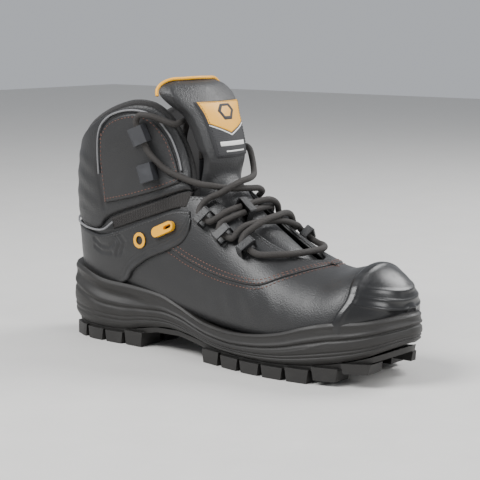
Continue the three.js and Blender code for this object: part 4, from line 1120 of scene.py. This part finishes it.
def on_label(p, q, lift):
    """p from 0 to 1 across the patch, q from 0 to 1 up it."""
    row = LABEL_ROWS[0] + (LABEL_ROWS[1] - LABEL_ROWS[0]) * q
    over = LABEL_ACROSS[0] + (LABEL_ACROSS[1] - LABEL_ACROSS[0]) * p
    return front_of(row, over, np.broadcast_to(lift, p.shape))


def label_part(name, low, high, left, right, lift, material, columns=36, rows=28):
    """A thin piece of the label between two lines q = low(p) and q = high(p)."""
    def place(u, v):
        p = left + (right - left) * u
        q = low(p) + (high(p) - low(p)) * v
        rim = np.minimum(np.minimum(u, 1 - u) * columns, np.minimum(v, 1 - v) * rows)
        return on_label(p, q, np.where(rim < 0.5, 0.0, lift))

    def out(u, v):
        p = left + (right - left) * u
        q = low(p) + (high(p) - low(p)) * v
        return on_label(p, q, 1.0 + 0 * u) - on_label(p, q, 0.0 * u)

    return keep(drape(place, columns, rows, out), name, material, body="tongue_top")


def flat(value):
    return lambda p: value + 0 * p


def shield(p):
    return 0.56 - 0.17 * (1 - np.abs(2 * p - 1))


patch = label_part("label_patch", flat(0.0), flat(1.0), 0.0, 1.0, 1.0, BLACK_LABEL)
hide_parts("tongue_label")
label_part("label_shield", shield, flat(0.985), 0.02, 0.98, 1.25, YELLOW)
label_part("label_edge", lambda p: shield(p) - 0.032, shield, 0.02, 0.98, 1.3, WHITE, rows=4)
label_part("label_bar_wide", flat(0.21), flat(0.3), 0.14, 0.86, 1.2, WHITE, rows=6)
label_part("label_bar_thin", flat(0.1), flat(0.15), 0.24, 0.82, 1.2, WHITE, rows=4)


def hexagon(u, v):
    """A six-sided ring: u round it, v from its inner to its outer edge."""
    turn = u * 2 * math.pi
    side = math.cos(math.pi / 6) / np.cos(np.mod(turn, math.pi / 3) - math.pi / 6)
    size = (0.105 + 0.085 * v) * side
    lift = np.where((v < 0.01) | (v > 0.99), 1.0, 1.55)
    return on_label(0.5 + size * np.cos(turn) * 1.1, 0.755 + size * np.sin(turn), lift)


ring_out = lambda u, v: hexagon(u, v) * 0 + np.array([1.0, -0.2, 0.2])
keep(drape(hexagon, 72, 4, ring_out), "label_ring", BLACK_LABEL, body="tongue_top")

# %% [markdown]
# ## Stitches
# Thread shows as short raised beads with a gap between them. Every stitch is the same small icosphere,
# stretched and turned along its seam, so a row of a hundred stays light. Seam lines come from the panels'
# own borders.

# %% Stitch rows
def stitches(name, rows, material, body="boot", pitch=3.1, length=2.2, wide=0.78):
    """Rows are lists of points and outward ways, in millimetres."""
    made = bmesh.new()
    count = 0
    for points, ways in rows:
        walked = np.concatenate([[0], np.cumsum(np.linalg.norm(np.diff(points, axis=0), axis=1))])
        for at in np.arange(pitch / 2, walked[-1], pitch):
            here = np.array([np.interp(at, walked, points[:, k]) for k in range(3)])
            ahead = np.array([np.interp(at + 0.5, walked, points[:, k]) for k in range(3)]) - here
            out = np.array([np.interp(at, walked, ways[:, k]) for k in range(3)])
            if np.linalg.norm(ahead) < 1e-6:
                continue
            ahead /= np.linalg.norm(ahead)
            side = np.cross(out, ahead)
            side /= np.linalg.norm(side)
            up = np.cross(ahead, side)
            sizes = (length, wide, wide * 0.8)
            turn = Matrix([[a * s / 2000 for a, s in zip(column, sizes)] for column in zip(ahead, side, up)])
            place = Matrix.Translation(metres(here)) @ turn.to_4x4()
            bmesh.ops.create_icosphere(made, subdivisions=1, radius=1, matrix=place)
            count += 1
    print(name, count, "stitches")
    return keep(made, name, material, body)


def row_on(placed, offset):
    return skin(placed[:, 0], placed[:, 1], offset), skin_normal(placed[:, 0], placed[:, 1])


def row_over(placed, lift):
    return lifted(placed, lift), skin_normal(placed[:, 0], placed[:, 1])


below_seam = facing_shape.low - (facing_shape.inset("low", 1.9) - facing_shape.low)
seam_rows = [
    row_on(facing_shape.inset("low", 1.9), 1.1), row_on(facing_shape.inset("low", 4.2), 1.1),
    row_on(below_seam, 0.1),
]
stitches("vamp_seam_stitches", seam_rows, THREAD)
throat_rows = [row_on(facing_shape.inset("high", 2.3), 1.1), row_on(facing_shape.inset("high", 4.6), 1.1)]
stitches("throat_stitches", throat_rows, DARK_THREAD)
cage_rows = [row_on(cage_shape.inset("high", 2.6), 2.5)]
stitches("cage_stitches", cage_rows, DARK_THREAD)
hook_rows = []
for shape in hook_shapes:
    hook_rows += [row_over(shape.inset("low", 2.8), 2.15), row_over(shape.inset("high", 3.2), 2.15)]
    hook_rows.append(row_over(shape.place[2], 2.15))
stitches("hook_panel_stitches", hook_rows, THREAD)

LABEL_SEAM = [(0.06, 0.05), (0.06, 0.95), (0.94, 0.95), (0.94, 0.05), (0.06, 0.05)]
drawn = spread(LABEL_SEAM, 200, bend=False)
seam = on_label(drawn[:, 0], drawn[:, 1], 1.35 + 0 * drawn[:, 0])
rows = [(seam, seam - on_label(drawn[:, 0], drawn[:, 1], 0.0 * drawn[:, 0]))]
stitches("label_stitches", rows, BLACK_LABEL, body="tongue_top", pitch=2.2, length=1.5, wide=0.55)

# %% [markdown]
# ## Floor and light
# A pale matte floor, a large soft light from the front left, a second one behind for the edges, and an even
# grey world. Large lights give black leather the broad highlights that show its shape.

# %% Floor, lights and world
floor_mesh = bmesh.new()
bmesh.ops.create_grid(floor_mesh, x_segments=1, y_segments=1, size=3.0)
floor_data = bpy.data.meshes.new("floor")
floor_mesh.to_mesh(floor_data)
floor_mesh.free()
floor = bpy.data.objects.new("floor", floor_data)
bpy.context.scene.collection.objects.link(floor)
floor_data.materials.append(
    finish(
        "pale_floor", (0.62, 0.61, 0.59), 0.7, grain, {"Cells per metre": 300.0}, 0.00005, vary=0.04,
        scuff=0.05
    )
)


def soft_light(name, place, aim, size, power):
    lamp = bpy.data.objects.new(name, bpy.data.lights.new(name, "AREA"))
    lamp.data.shape = "DISK"
    lamp.data.size = size
    lamp.data.energy = power
    lamp.location = place
    lamp.rotation_euler = (Vector(place) - Vector(aim)).to_track_quat("Z", "Y").to_euler()
    bpy.context.scene.collection.objects.link(lamp)


soft_light("key", (-0.35, -0.9, 1.2), (0, 0, 0.08), 0.9, 30)
soft_light("edge", (0.5, 1.1, 1.1), (0, 0, 0.1), 0.9, 24)
soft_light("toe", (1.3, -0.1, 0.7), (0.1, 0, 0.06), 0.6, 9)
world = bpy.data.worlds.new("studio")
world.use_nodes = True
world.node_tree.nodes["Background"].inputs["Color"].default_value = (0.8, 0.83, 0.88, 1)
world.node_tree.nodes["Background"].inputs["Strength"].default_value = 0.6
bpy.context.scene.world = world
